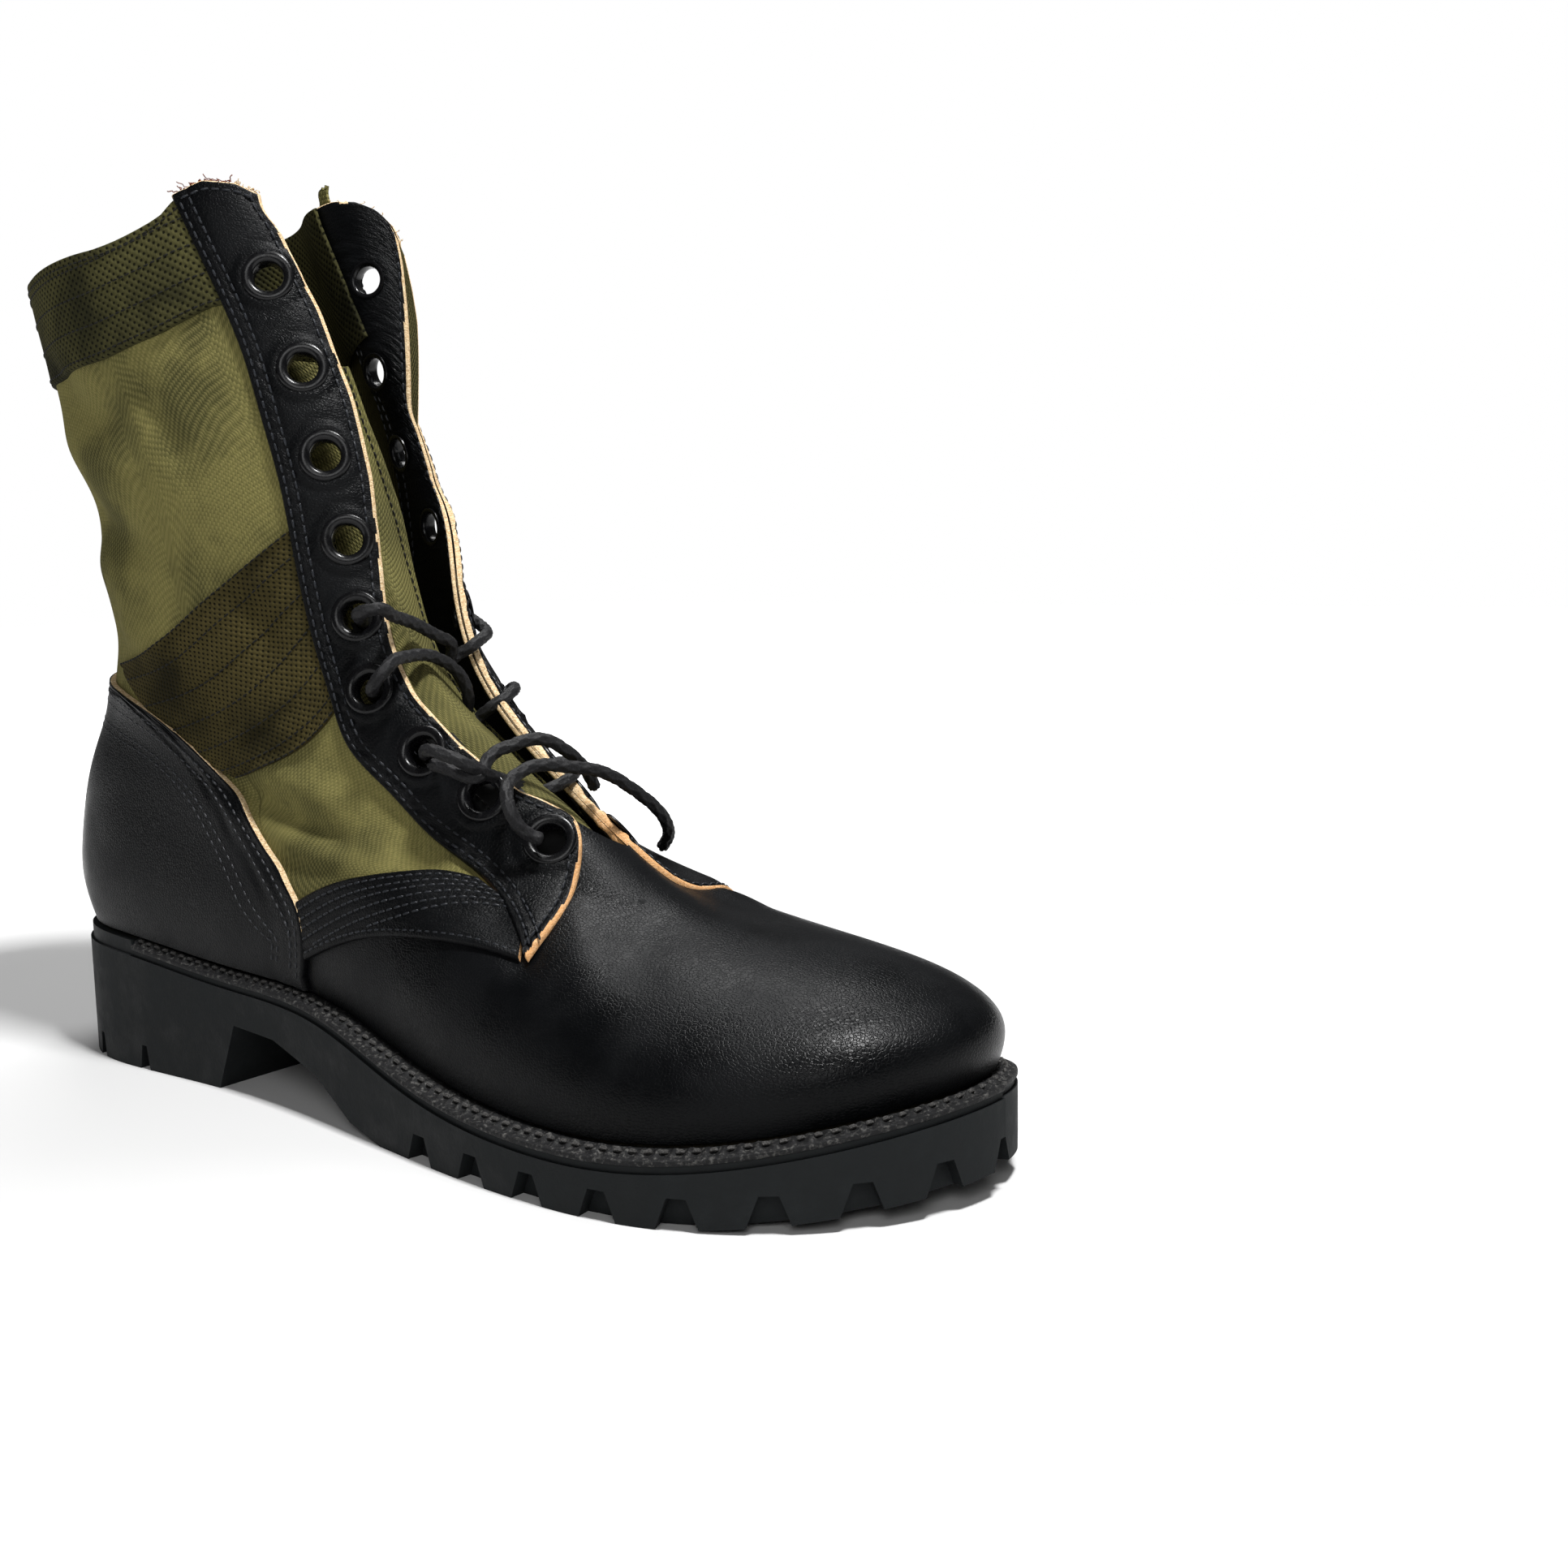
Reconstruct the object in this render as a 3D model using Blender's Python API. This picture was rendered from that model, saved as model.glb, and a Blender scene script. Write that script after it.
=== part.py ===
"""Jungle boot for the right foot: canvas shaft, leather foot and lug sole.

+X runs to the toe, -Y is the outer side and +Z is up. Lengths are in millimetres until a mesh is made.
"""

import bmesh
import bpy
import numpy as np
from mathutils import Matrix, Vector

MM = 0.001

# Where the boot stands: the middle of its box becomes the origin
CENTRE_X = 143.4
CENTRE_Y = -2.8

# Driving sizes
WALL = 2.2
CLEAR = 0.35
OVER = 0.8
OVER_FACING = 1.2
OVERLAY = 1.2
FACING = 1.3
WEBBING = 0.9
TONGUE_THICK = 1.3
BAND_GAP = 0.009
LEDGE_HEEL = 4.2
LEDGE_BALL_OUTER = 6.2
LEDGE_BALL_INNER = 4.8
EDGE_STACK = 4.9
MIDSOLE = 1.6
TOE_SPRING = 6.5
SPRING_START = 240.0
HEEL_BREAST = 84.0
BREAST_LEAN = 8.0
NOTCH_PITCH = 20.3
NOTCH_HEIGHT = 7.0
NOTCH_FOOT = 10.0
NOTCH_TOP = 4.5
LUG_DEPTH = 16.0
TIP_NOTCH = 7.0
CHANNEL = 4.0
CHANNEL_DEPTH = 5.5
EYELET_HOLE = 2.7
EYELET_BARREL = 3.3
EYELET_FLANGE = 4.7
EYELET_SIDES = 8
VENT_RADIUS = 5.0
LACE = 4.0
SEAM_GAP = 0.2
INSOLE_INSET = 1.5
INSOLE_THICK = 2.0
HEEL_FILL = 64.0
MIDSOLE_INSET = 0.8
MIDSOLE_STEP = 46.0
WELT_START = 50.0

# How many points the sheets are made of
SEAM_ROWS = 14
VAMP_COLUMNS = 26
HEEL_STEPS = 16
SHAFT_ROWS = 16
VENT_SIDES = 16

# Rough millimetres for one unit of a and of t, to turn a small distance into them
SHEET_SCALE = np.array((500.0, 450.0))

# Sections of the upper, from the sole line up to above the collar. Each one is a sheet that fans from a point at
# the back to a point at the front. Columns: back x and z, front x, z and y, half-widths of the outer side at heel,
# waist and ball, the same of the inner side, share of the length that rounds off at back and front, how far the
# sheet follows the sole line's dips, how far the inner side of the throat sinks in, and how far the inner facing
# flares out in front of a hollow in the shaft.
SECTIONS = np.array([
    (1, 39, 301, 27, 6, 38.0, 40.0, 54.0, 37.0, 30.0, 44.0, .12, .24, 1.0, 0, 0),
    (-4.5, 52, 303.5, 37, 6, 39.5, 41.0, 54.5, 38.5, 32.5, 45.0, .13, .26, .90, 0, 0),
    (-4.5, 66, 294, 47, 6, 39.0, 39.5, 50.0, 38.5, 33.5, 42.0, .14, .32, .75, 0, 0),
    (-2, 80, 272, 53, 5, 37.5, 38.0, 43.0, 37.0, 34.5, 37.0, .15, .42, .50, 0, 0),
    (3, 93, 243, 57, 4, 36.2, 37.0, 37.0, 35.5, 34.5, 33.0, .17, .48, .32, 2, 0),
    (6.5, 104, 218, 64.5, 2, 35.3, 36.2, 33.0, 36.0, 35.0, 30.0, .22, .50, .2, 6, 0),
    (9, 116, 194, 82, 0, 36.0, 36.5, 32.0, 36.0, 36.0, 30.0, .28, .50, .12, 9, 0),
    (11, 128, 168, 102, 0, 37.0, 38.0, 33.0, 37.0, 38.0, 33.0, .35, .48, .05, 11, 0),
    (9.3, 142, 148, 122, 0, 39.5, 40.0, 36.0, 39.0, 40.0, 36.0, .42, .50, 0, 11, 1),
    (8, 158, 138, 146, 0, 40.0, 41.0, 39.0, 40.0, 41.0, 39.0, .46, .50, 0, 11, 4),
    (-.2, 178, 132, 172, 0, 42.0, 42.5, 41.0, 41.0, 42.0, 41.0, .48, .50, 0, 9, 8),
    (-9, 202, 122, 200, 0, 42.0, 43.5, 42.0, 40.5, 41.0, 41.0, .48, .50, 0, 4, 11),
    (-22, 239, 103, 252, 0, 40.0, 43.0, 42.0, 40.0, 40.0, 40.0, .48, .50, 0, 0, 12),
])
ROWS_FINE = 161
SIDE_SAMPLES = 65

# Sole line, where the upper's lower edge runs: x and z
SOLE_LINE_X = (-10, 40, 85, 130, 170, 210, 260, 310)
SOLE_LINE_Z = (39, 38.5, 34, 31, 21.5, 16.5, 18, 28)

# Underside of the outsole between the heel and the forefoot: x and z
ARCH_X = (92, 110, 130, 146, 160)
ARCH_Z = (19, 18, 12, 3, 0)

# Throat: height along the sections, then how far round the boot the outer and the inner edge are
THROAT_START = .366
THROAT = np.array([
    (.372, .485, -.474),
    (.385, .473, -.464),
    (.41, .450, -.462),
    (.45, .436, -.460),
    (.50, .430, -.455),
    (.55, .436, -.446),
    (.62, .446, -.419),
    (.70, .453, -.374),
    (.78, .455, -.358),
    (.86, .450, -.369),
    (.93, .437, -.379),
    (.96, .425, -.381),
    (1.0, .405, -.382),
])

# Lines on the side view, each a row of (x, z)
COLLAR_TOP = {
    -1: [(-25, 225.5), (15, 226), (44, 229), (55, 229.8), (63, 231.5), (71, 234.3), (76.5, 237.2), (79.5, 241.5),
         (86, 244.5), (93, 243.5), (99, 240), (108, 230)],
    1: [(-25, 225.5), (5, 232), (18, 238), (30, 243), (46, 245.6), (60, 247.2), (73, 248.3), (80, 247.3), (86, 244),
        (90, 239.5), (93, 233), (97, 226)],
}
COLLAR_FOOT = [(-15, 196), (20, 197), (56, 200.5), (77, 206), (92, 212.5)]
FACING_BACK = {
    -1: [(78, 243), (85, 229), (93, 214), (100, 199), (106, 182), (111, 165), (114, 148), (118, 128), (124, 112),
         (131, 98), (145, 86), (161, 74), (177, 66), (191, 58.5), (203, 51)],
    1: [(66, 243), (73, 229), (80, 214), (87, 199), (94, 182), (100, 165), (103, 148), (108, 128), (114, 112),
        (122, 98), (137, 84), (155, 72), (172, 63), (190, 54), (206, 46)],
}
FACING_TIP = {-1: [(199, 66), (202, 59), (204, 50.5)], 1: [(203, 62), (207, 54), (209, 46)]}
COUNTER_EDGE = [(36, 109), (61, 102), (78, 93), (92, 83), (103, 72), (114, 61), (122, 52), (123.5, 43), (121.5, 36)]
COUNTER_TOP = 113.0
SADDLE_TOP = {-1: [(122, 56), (137, 62.5), (154, 66), (167, 67), (176, 65.7)],
              1: [(122, 55), (137, 61), (152, 64), (163, 64.5), (171, 62.6)]}
SADDLE_FOOT = {-1: [(126, 41), (138, 46), (151, 50), (170, 52.5), (187, 52.5), (201, 51)],
               1: [(126, 40), (138, 45), (151, 48), (170, 49.5), (189, 48.5), (204, 46)]}
ANKLE_TOP = {-1: [(38, 116.5), (67, 124), (84, 134), (100, 144), (113, 153)],
             1: [(38, 116.5), (62, 124), (77, 133), (91, 142), (102, 150)]}
ANKLE_FOOT = {-1: [(92, 87), (108, 92), (119, 98), (126.5, 106)],
              1: [(90, 87), (101, 91), (110, 97), (117, 106)]}

# Seam between the leather vamp and the canvas shaft, from the sole line up to the throat, as (a, t)
SEAM = {
    -1: [(.207, 0), (.208, .05), (.232, .105), (.28, .165), (.325, .2), (.352, .21), (.374, .24), (.383, .28),
         (.386, .35), (.395, .39), (.414, .4125), (.443, .43)],
    1: [(-.212, 0), (-.214, .05), (-.235, .095), (-.28, .142), (-.325, .168), (-.350, .183), (-.360, .23),
        (-.365, .29), (-.376, .35), (-.395, .398), (-.4275, .4205), (-.4613, .425)],
}

# Eyelets from the top down: height along the sections and how far round, of the outer one and then of the inner one
EYELETS = [
    (.892, .418, .916, -.346),
    (.806, .424, .821, -.331),
    (.721, .422, .731, -.335),
    (.644, .424, .654, -.364),
    (.576, .417, .584, -.398),
    (.499, .396, .507, -.414),
    (.432, .403, .440, -.424),
    (.393, .425, .401, -.431),
    (.356, .447, .364, -.447),
]

# Vents in the inner side's arch: x and height over the sole line
VENTS = [(143, 9), (162, 11)]

# Lace: where each crossing starts on the outer side, round the boot and up it, its height at the outer edge, and the
# eyelet row it ends at
CROSSINGS = [
    (.417, .576, .585, 5),
    (.396, .499, .530, 6),
    (.440, .435, .445, 7),
]

# How high a crossing's middle line is over the upper, at its start, at both edges of the throat and at its end
LACE_LIFT = (7.0, 6.2, 6.2, 7.0)

# Routes of the lace's two loose ends: x, y and z
LOOP_ROUTE = [
    (159.3, -27.5, 93.6),
    (168.5, -28.2, 92.4),
    (174, -26, 91),
    (173, -21, 95),
    (175, -14, 98),
    (178, -7, 99),
    (181, 0, 95),
    (181, 7, 89),
    (180, 11, 84),
]
TAIL_ROUTE = [
    (192, -22, 76),
    (189, -26, 79),
    (187, -28, 84),
    (184, -26, 88),
    (181, -20, 91),
    (182, -13, 93),
    (185, -5, 92),
    (188, 4, 90),
    (191, 14, 84),
    (192, 23, 77),
    (189, 30, 70),
    (183, 34, 65),
]

# Tongue: height along the sections, its outer and its inner edge round the boot, and its depth under the surface
TONGUE = [
    (.325, .425, .575, 3.8),
    (.40, .400, .590, 4.2),
    (.48, .392, .585, 6.0),
    (.55, .390, .575, 9.0),
    (.62, .390, .568, 11.0),
    (.70, .390, .541, 12.0),
    (.78, .388, .505, 12.0),
    (.83, .386, .490, 12.0),
]

LOOKS = {
    "rubber": ((.018, .019, .020), .75, 0),
    "welt": ((.045, .045, .043), .8, 0),
    "canvas": ((.095, .093, .042), .95, 0),
    "webbing": ((.055, .047, .025), .95, 0),
    "leather": ((.012, .012, .013), .38, 0),
    "board": ((.10, .075, .045), .9, 0),
    "enamel": ((.010, .010, .010), .3, .6),
    "screen": ((.06, .055, .04), .5, .9),
    "cord": ((.010, .010, .010), .85, 0),
}


# Curves


def spline(knots, values, x):
    """Natural cubic spline through (knots, values) at x, with every column of values at once."""
    knots = np.asarray(knots, float)
    values = np.asarray(values, float)
    count = len(knots)
    gap = np.diff(knots)
    matrix = np.zeros((count, count))
    right = np.zeros((count,) + values.shape[1:])
    matrix[0, 0] = 1
    matrix[-1, -1] = 1
    for i in range(1, count - 1):
        matrix[i, i - 1:i + 2] = gap[i - 1], 2 * (gap[i - 1] + gap[i]), gap[i]
        right[i] = 6 * ((values[i + 1] - values[i]) / gap[i] - (values[i] - values[i - 1]) / gap[i - 1])
    bend = np.linalg.solve(matrix, right.reshape(count, -1)).reshape(right.shape)
    x = np.asarray(x, float)
    k = np.clip(np.searchsorted(knots, x) - 1, 0, count - 2)
    shape = x.shape + (1,) * (values.ndim - 1)
    before = (x - knots[k]).reshape(shape)
    after = (knots[k + 1] - x).reshape(shape)
    span = gap[k].reshape(shape)
    return ((bend[k] * after**3 + bend[k + 1] * before**3) / (6 * span)
            + (values[k] / span - bend[k] * span / 6) * after
            + (values[k + 1] / span - bend[k + 1] * span / 6) * before)


def smoothstep(x):
    x = np.clip(x, 0, 1)
    return 3 * x**2 - 2 * x**3


def along(points):
    """Length along a line of points, from 0 to 1."""
    steps = np.linalg.norm(np.diff(np.asarray(points, float), axis=0), axis=1)
    length = np.r_[0, np.cumsum(steps)]
    return length / length[-1]


def sole_line(x):
    return spline(SOLE_LINE_X, SOLE_LINE_Z, np.clip(x, -10, 310))


# The upper's outer surface


def rounding(share, back, front):
    """How wide a section is at a share of its length: a round end at the back and one at the front."""
    from_back = np.clip(1 - share / back, 0, 1)
    from_front = np.clip((share - 1 + front) / front, 0, 1)
    return np.sqrt(1 - from_back**2.1) * np.sqrt(1 - from_front**2.1)


def section(row, inward):
    """One section as a closed line of points, evenly spaced, from the back round the outer side."""
    bx, bz, fx, fz, fy, *widths, back, front, dip, sink, flare = row
    share = (1 - np.cos(np.linspace(0, np.pi, 241))) / 2
    base = SECTIONS[0]
    sides = []
    for sign, (heel, waist, ball) in ((-1, widths[:3]), (1, widths[3:])):
        width = spline((0, .15, .42, .68, 1), (heel, heel, waist, ball, ball), share)
        x = bx + (fx - bx) * share
        y = sign * width * rounding(share, back, front) + fy * share**3
        if sign > 0:
            lapel = smoothstep((share - .80) / .12) * np.sqrt(1 - np.clip((share - .94) / .06, 0, 1)**2)
            y += flare * (lapel - np.exp(-((share - .70) / .13)**2))
        straight = base[1] + (base[3] - base[1]) * (x - base[0]) / (base[2] - base[0])
        weight = dip * (1 - (1 - dip) * np.abs(2 * share - 1)**6)
        z = bz + (fz - bz) * share + weight * (sole_line(x) - straight)
        sunk = sink * smoothstep((y + 14) / 30) * smoothstep((share - .70) / .22)
        points = np.c_[x + sunk * inward[0], y, z + sunk * inward[1]]
        length = along(points)
        even = np.linspace(0, 1, SIDE_SAMPLES)
        sides.append(np.stack([np.interp(even, length, points[:, k]) for k in range(3)], 1))
    return np.concatenate([sides[0], sides[1][-2:0:-1]])


def surface_grid():
    """Points of the outer surface, rows up the boot and columns round it."""
    steps = np.hypot(*np.diff(SECTIONS[:, 0:2], axis=0).T) + np.hypot(*np.diff(SECTIONS[:, 2:4], axis=0).T)
    knots = np.r_[0, np.cumsum(steps)] / steps.sum()
    rows = spline(knots, SECTIONS, np.linspace(0, 1, ROWS_FINE))
    slope = np.gradient(rows[:, 2:4], axis=0)
    slope /= np.linalg.norm(slope, axis=1, keepdims=True)
    grid = np.array([section(row, (-s[1], s[0])) for row, s in zip(rows, slope)])
    for _ in range(6):
        grid = .5 * grid + .25 * (np.roll(grid, 1, 1) + np.roll(grid, -1, 1))
        grid[1:-1] = .5 * grid[1:-1] + .25 * (grid[:-2] + grid[2:])
    return grid


GRID = surface_grid()
AROUND = GRID.shape[1]


def blend_four(p0, p1, p2, p3, f):
    return .5 * (2 * p1 + (p2 - p0) * f + (2 * p0 - 5 * p1 + 4 * p2 - p3) * f**2 + (3 * p1 - p0 - 3 * p2 + p3) * f**3)


def surface(a, t):
    """Point at a, round the boot (0 back, outer side, .5 front, inner side), and t, up it (0 to 1)."""
    a, t = np.broadcast_arrays(np.mod(np.asarray(a, float), 1) * AROUND, np.clip(t, 0, 1) * (ROWS_FINE - 1.0))
    i = np.floor(a).astype(int)
    j = np.clip(np.floor(t).astype(int), 0, ROWS_FINE - 2)
    f = (a - i)[..., None]
    g = (t - j)[..., None]
    lines = []
    for dj in (-1, 0, 1, 2):
        row = np.clip(j + dj, 0, ROWS_FINE - 1)
        lines.append(blend_four(*[GRID[row, (i + di) % AROUND] for di in (-1, 0, 1, 2)], f))
    return blend_four(*lines, g)


def normal(a, t):
    step = 2e-3
    across = surface(np.asarray(a) + step, t) - surface(np.asarray(a) - step, t)
    up = surface(a, np.minimum(np.asarray(t) + step, 1)) - surface(a, np.maximum(np.asarray(t) - step, 0))
    n = np.cross(across, up)
    return n / np.linalg.norm(n, axis=-1, keepdims=True)


def raised(at, height):
    """Points over the outer surface at an array of (a, t)."""
    height = np.broadcast_to(height, at.shape[:-1])
    return surface(at[..., 0], at[..., 1]) + normal(at[..., 0], at[..., 1]) * height[..., None]


# Places on the surface

SIDE_A, SIDE_T = np.meshgrid(np.linspace(0, .5, 161), np.linspace(0, 1, 201))
SIDE_XZ = {-1: surface(SIDE_A, SIDE_T)[..., ::2], 1: surface(1 - SIDE_A, SIDE_T)[..., ::2]}


def place(x, z, side):
    """The (a, t) of the surface point seen at (x, z) from one side: -1 outer, 1 inner, where a is below 0."""
    target = np.array((x, z))
    k = np.unravel_index(((SIDE_XZ[side] - target)**2).sum(-1).argmin(), SIDE_A.shape)
    found = np.array((SIDE_A[k], SIDE_T[k]))
    step = 1e-3
    for _ in range(6):
        a, t = found
        here = surface(-side * a, t)[::2]
        slope_a = (surface(-side * (a + step), t)[::2] - surface(-side * (a - step), t)[::2]) / (2 * step)
        low, high = max(t - step, 0), min(t + step, 1)
        slope_t = (surface(-side * a, high)[::2] - surface(-side * a, low)[::2]) / (high - low)
        move = np.linalg.lstsq(np.stack([slope_a, slope_t], 1), target - here, rcond=None)[0]
        found = np.clip(found + np.clip(move, -.04, .04), 0, (.5, 1))
    return -side * found[0], found[1]


def up_to(a, line):
    """The t at which column a crosses a side-view line of (x, z)."""
    t = np.linspace(0, 1, 401)
    x, _, z = surface(np.full(401, a), t).T
    xs, zs = np.array(line, float).T
    over = z - np.interp(x, xs, zs)
    k = np.where((over[:-1] < 0) & (over[1:] >= 0))[0][-1]
    return t[k] - over[k] * (t[k + 1] - t[k]) / (over[k + 1] - over[k])


def collar(a):
    """The t of the collar's top edge at column a."""
    return up_to(a, COLLAR_TOP[-1 if a > 0 else 1])


def line_on(points, side, count):
    """A side-view line of (x, z) as evenly spaced (a, t) on the surface."""
    return evenly([place(x, z, side) for x, z in points], count)


def evenly(at, count):
    """A line of (a, t), smoothed and spaced evenly over the surface."""
    at = np.asarray(at, float)
    fine = spline(along(surface(at[:, 0], at[:, 1])), at, np.linspace(0, 1, 121))
    length = along(surface(fine[:, 0], fine[:, 1]))
    even = np.linspace(0, 1, count)
    return np.stack([np.interp(even, length, fine[:, k]) for k in range(2)], 1)


def patch(foot, top, left, right, share=None):
    """(a, t) over a four-sided piece from its four edges: foot and top run left to right, left and right run up."""
    share = np.linspace(0, 1, len(foot)) if share is None else share
    u = share[None, :, None]
    v = np.linspace(0, 1, len(left))[:, None, None]
    ruled = (1 - v) * foot[None] + v * top[None] + (1 - u) * left[:, None] + u * right[:, None]
    corners = ((1 - u) * (1 - v) * foot[0] + u * (1 - v) * foot[-1] + (1 - u) * v * top[0] + u * v * top[-1])
    return ruled - corners


def throat_edge(t, side):
    """The a of the throat's edge at height t, which is the front line below the throat's start."""
    t = np.asarray(t, float)
    knots = np.r_[THROAT_START, THROAT[:, 0]]
    values = np.r_[-side * .5, THROAT[:, 1 if side < 0 else 2]]
    return np.where(t <= THROAT_START, -side * .5, np.interp(t, knots, values))


# Solids


def look(name):
    """A Principled material of its own for each object."""
    colour, roughness, metallic = LOOKS[name]
    made = bpy.data.materials.new(name)
    made.use_nodes = True
    shader = made.node_tree.nodes["Principled BSDF"]
    shader.inputs["Base Color"].default_value = (*colour, 1)
    shader.inputs["Roughness"].default_value = roughness
    shader.inputs["Metallic"].default_value = metallic
    return made


def finish(name, bm, material, smooth=True, placed=True):
    """Turns a bmesh in millimetres into an object in metres that stands round the origin."""
    shift = Vector((-CENTRE_X, -CENTRE_Y, 0)) if placed else Vector()
    for vert in bm.verts:
        vert.co = (vert.co + shift) * MM
    bmesh.ops.recalc_face_normals(bm, faces=bm.faces)
    mesh = bpy.data.meshes.new(name)
    bm.to_mesh(mesh)
    bm.free()
    if smooth:
        mesh.shade_smooth()
        mesh.set_sharp_from_angle(angle=np.radians(40))
    obj = bpy.data.objects.new(name, mesh)
    bpy.context.scene.collection.objects.link(obj)
    obj.parent = BOOT
    if material:
        mesh.materials.append(look(material))
    return obj


def cutter(name, bm):
    """A closed solid that only cuts."""
    obj = finish(name, bm, None, smooth=False)
    obj.hide_render = True
    obj.display_type = "WIRE"
    return obj


def cut(obj, tool):
    modifier = obj.modifiers.new(tool.name, "BOOLEAN")
    modifier.operation = "DIFFERENCE"
    modifier.object = tool
    modifier.solver = "EXACT"


def sheet(bm, outside, inside):
    """A closed solid between two grids of points."""
    rows, columns = outside.shape[:2]
    out, inn = [[[bm.verts.new(point) for point in line] for line in grid] for grid in (outside, inside)]
    for r in range(rows - 1):
        for c in range(columns - 1):
            bm.faces.new((out[r][c], out[r][c + 1], out[r + 1][c + 1], out[r + 1][c]))
            bm.faces.new((inn[r][c + 1], inn[r][c], inn[r + 1][c], inn[r + 1][c + 1]))
    for r in (0, -1):
        for c in range(columns - 1):
            bm.faces.new((out[r][c], out[r][c + 1], inn[r][c + 1], inn[r][c]))
    for c in (0, -1):
        for r in range(rows - 1):
            bm.faces.new((out[r][c], out[r + 1][c], inn[r + 1][c], inn[r][c]))
    return bm


def overlay(name, at, material, low=OVER, high=None):
    """A piece that lies over the upper between two heights."""
    high = low + OVERLAY if high is None else high
    return finish(name, sheet(bmesh.new(), raised(at, high), raised(at, low)), material)


def prism(bm, corners, low, high, top_corners=None):
    """A closed block between z low and high over a plan outline, with another outline at its top if given."""
    top_corners = corners if top_corners is None else top_corners
    foot = [bm.verts.new((x, y, low)) for x, y in corners]
    top = [bm.verts.new((x, y, high)) for x, y in top_corners]
    bm.faces.new(foot[::-1])
    bm.faces.new(top)
    for k in range(len(foot)):
        n = (k + 1) % len(foot)
        bm.faces.new((foot[k], foot[n], top[n], top[k]))


def lathe(profile, sides):
    """A closed ring turned round Z from a profile of (radius, z)."""
    bm = bmesh.new()
    rings = []
    for k in range(sides):
        angle = 2 * np.pi * k / sides
        rings.append([bm.verts.new((r * np.cos(angle), r * np.sin(angle), z)) for r, z in profile])
    for k in range(sides):
        here, there = rings[k], rings[(k + 1) % sides]
        for i in range(len(profile)):
            j = (i + 1) % len(profile)
            bm.faces.new((here[i], there[i], there[j], here[j]))
    return bm


# The sole


def plan_line(a, out):
    """The sole line in plan, moved outwards."""
    step = 1e-3
    ahead = surface(a + step, 0)[..., :2] - surface(a - step, 0)[..., :2]
    ahead /= np.linalg.norm(ahead, axis=-1, keepdims=True)
    outward = np.stack([ahead[..., 1], -ahead[..., 0]], -1)
    return surface(a, 0)[..., :2] + outward * np.asarray(out)[..., None]


def ledge(a):
    """How far the sole stands out past the upper, round the boot."""
    x = surface(a, 0)[..., 0]
    outer = np.mod(a, 1) <= .5
    widest = np.where(outer, LEDGE_BALL_OUTER, LEDGE_BALL_INNER)
    return LEDGE_HEEL + (widest - LEDGE_HEEL) * smoothstep((x - 70) / 90)


def edge_y(x, inset, side):
    """The y of the sole's edge, moved inwards by inset, at each x."""
    a = np.linspace(0, .5, 241) * -side
    line = plan_line(a, ledge(a) - inset)
    return np.interp(x, line[:, 0], line[:, 1])


def edge_ends(inset):
    """The x of the sole's back and tip, moved inwards."""
    a = np.array((0, .5))
    return plan_line(a, ledge(a) - inset)[:, 0]


def ground(x):
    return TOE_SPRING * (np.clip(x - SPRING_START, 0, None) / (308 - SPRING_START))**2


def underside(x):
    """Height of the outsole's underside: heel, slanted breast, arch, forefoot and toe spring."""
    breast = np.clip((x - HEEL_BREAST) / BREAST_LEAN, 0, 1) * ARCH_Z[0]
    arch = np.interp(x, ARCH_X, ARCH_Z)
    return np.where(x < ARCH_X[0], breast, arch + ground(x))


def plate(name, inset, low, high, material, stations=None):
    """A closed plate inside the sole's outline between two height functions of x."""
    back, tip = edge_ends(inset)
    even = back + (tip - back) * (1 - np.cos(np.linspace(.06, np.pi - .06, 19))) / 2
    x = np.unique(np.r_[even, stations if stations else []])
    outer, inner = edge_y(x, inset, -1), edge_y(x, inset, 1)
    across = np.linspace(0, 1, 4)[:, None]
    y = outer * (1 - across) + inner * across
    xs = np.broadcast_to(x, y.shape)
    top = np.stack([xs, y, np.broadcast_to(high(x), y.shape)], -1)
    foot = np.stack([xs, y, np.broadcast_to(low(x), y.shape)], -1)
    return finish(name, sheet(bmesh.new(), top, foot), material)


def notch(bm, centre, inward, depth, foot_width, top_width, height):
    """A groove from the sole's edge inwards, wider at the ground."""
    tangent = np.array((-inward[1], inward[0]))
    start, end = centre - inward * 4, centre + inward * depth
    low, high = ground(centre[0]) - 3, ground(centre[0]) + height
    widths = (foot_width * .5 + 1.2, top_width * .5)
    outlines = []
    for width in widths:
        outlines.append([start - tangent * width, end - tangent * width, end + tangent * width, start + tangent * width])
    prism(bm, outlines[0], low, high, outlines[1])


def outline_at(distance, side):
    """Point and inward direction on the sole's edge at a distance from the tip."""
    a = np.linspace(.5, .2, 301) * -side
    line = plan_line(a, ledge(a))
    length = np.r_[0, np.cumsum(np.linalg.norm(np.diff(line, axis=0), axis=1))]
    k = min(np.searchsorted(length, distance), len(a) - 2)
    ahead = line[k + 1] - line[max(k - 1, 0)]
    ahead /= np.linalg.norm(ahead)
    inward = np.array((ahead[1], -ahead[0])) * side
    return line[k], inward


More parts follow.
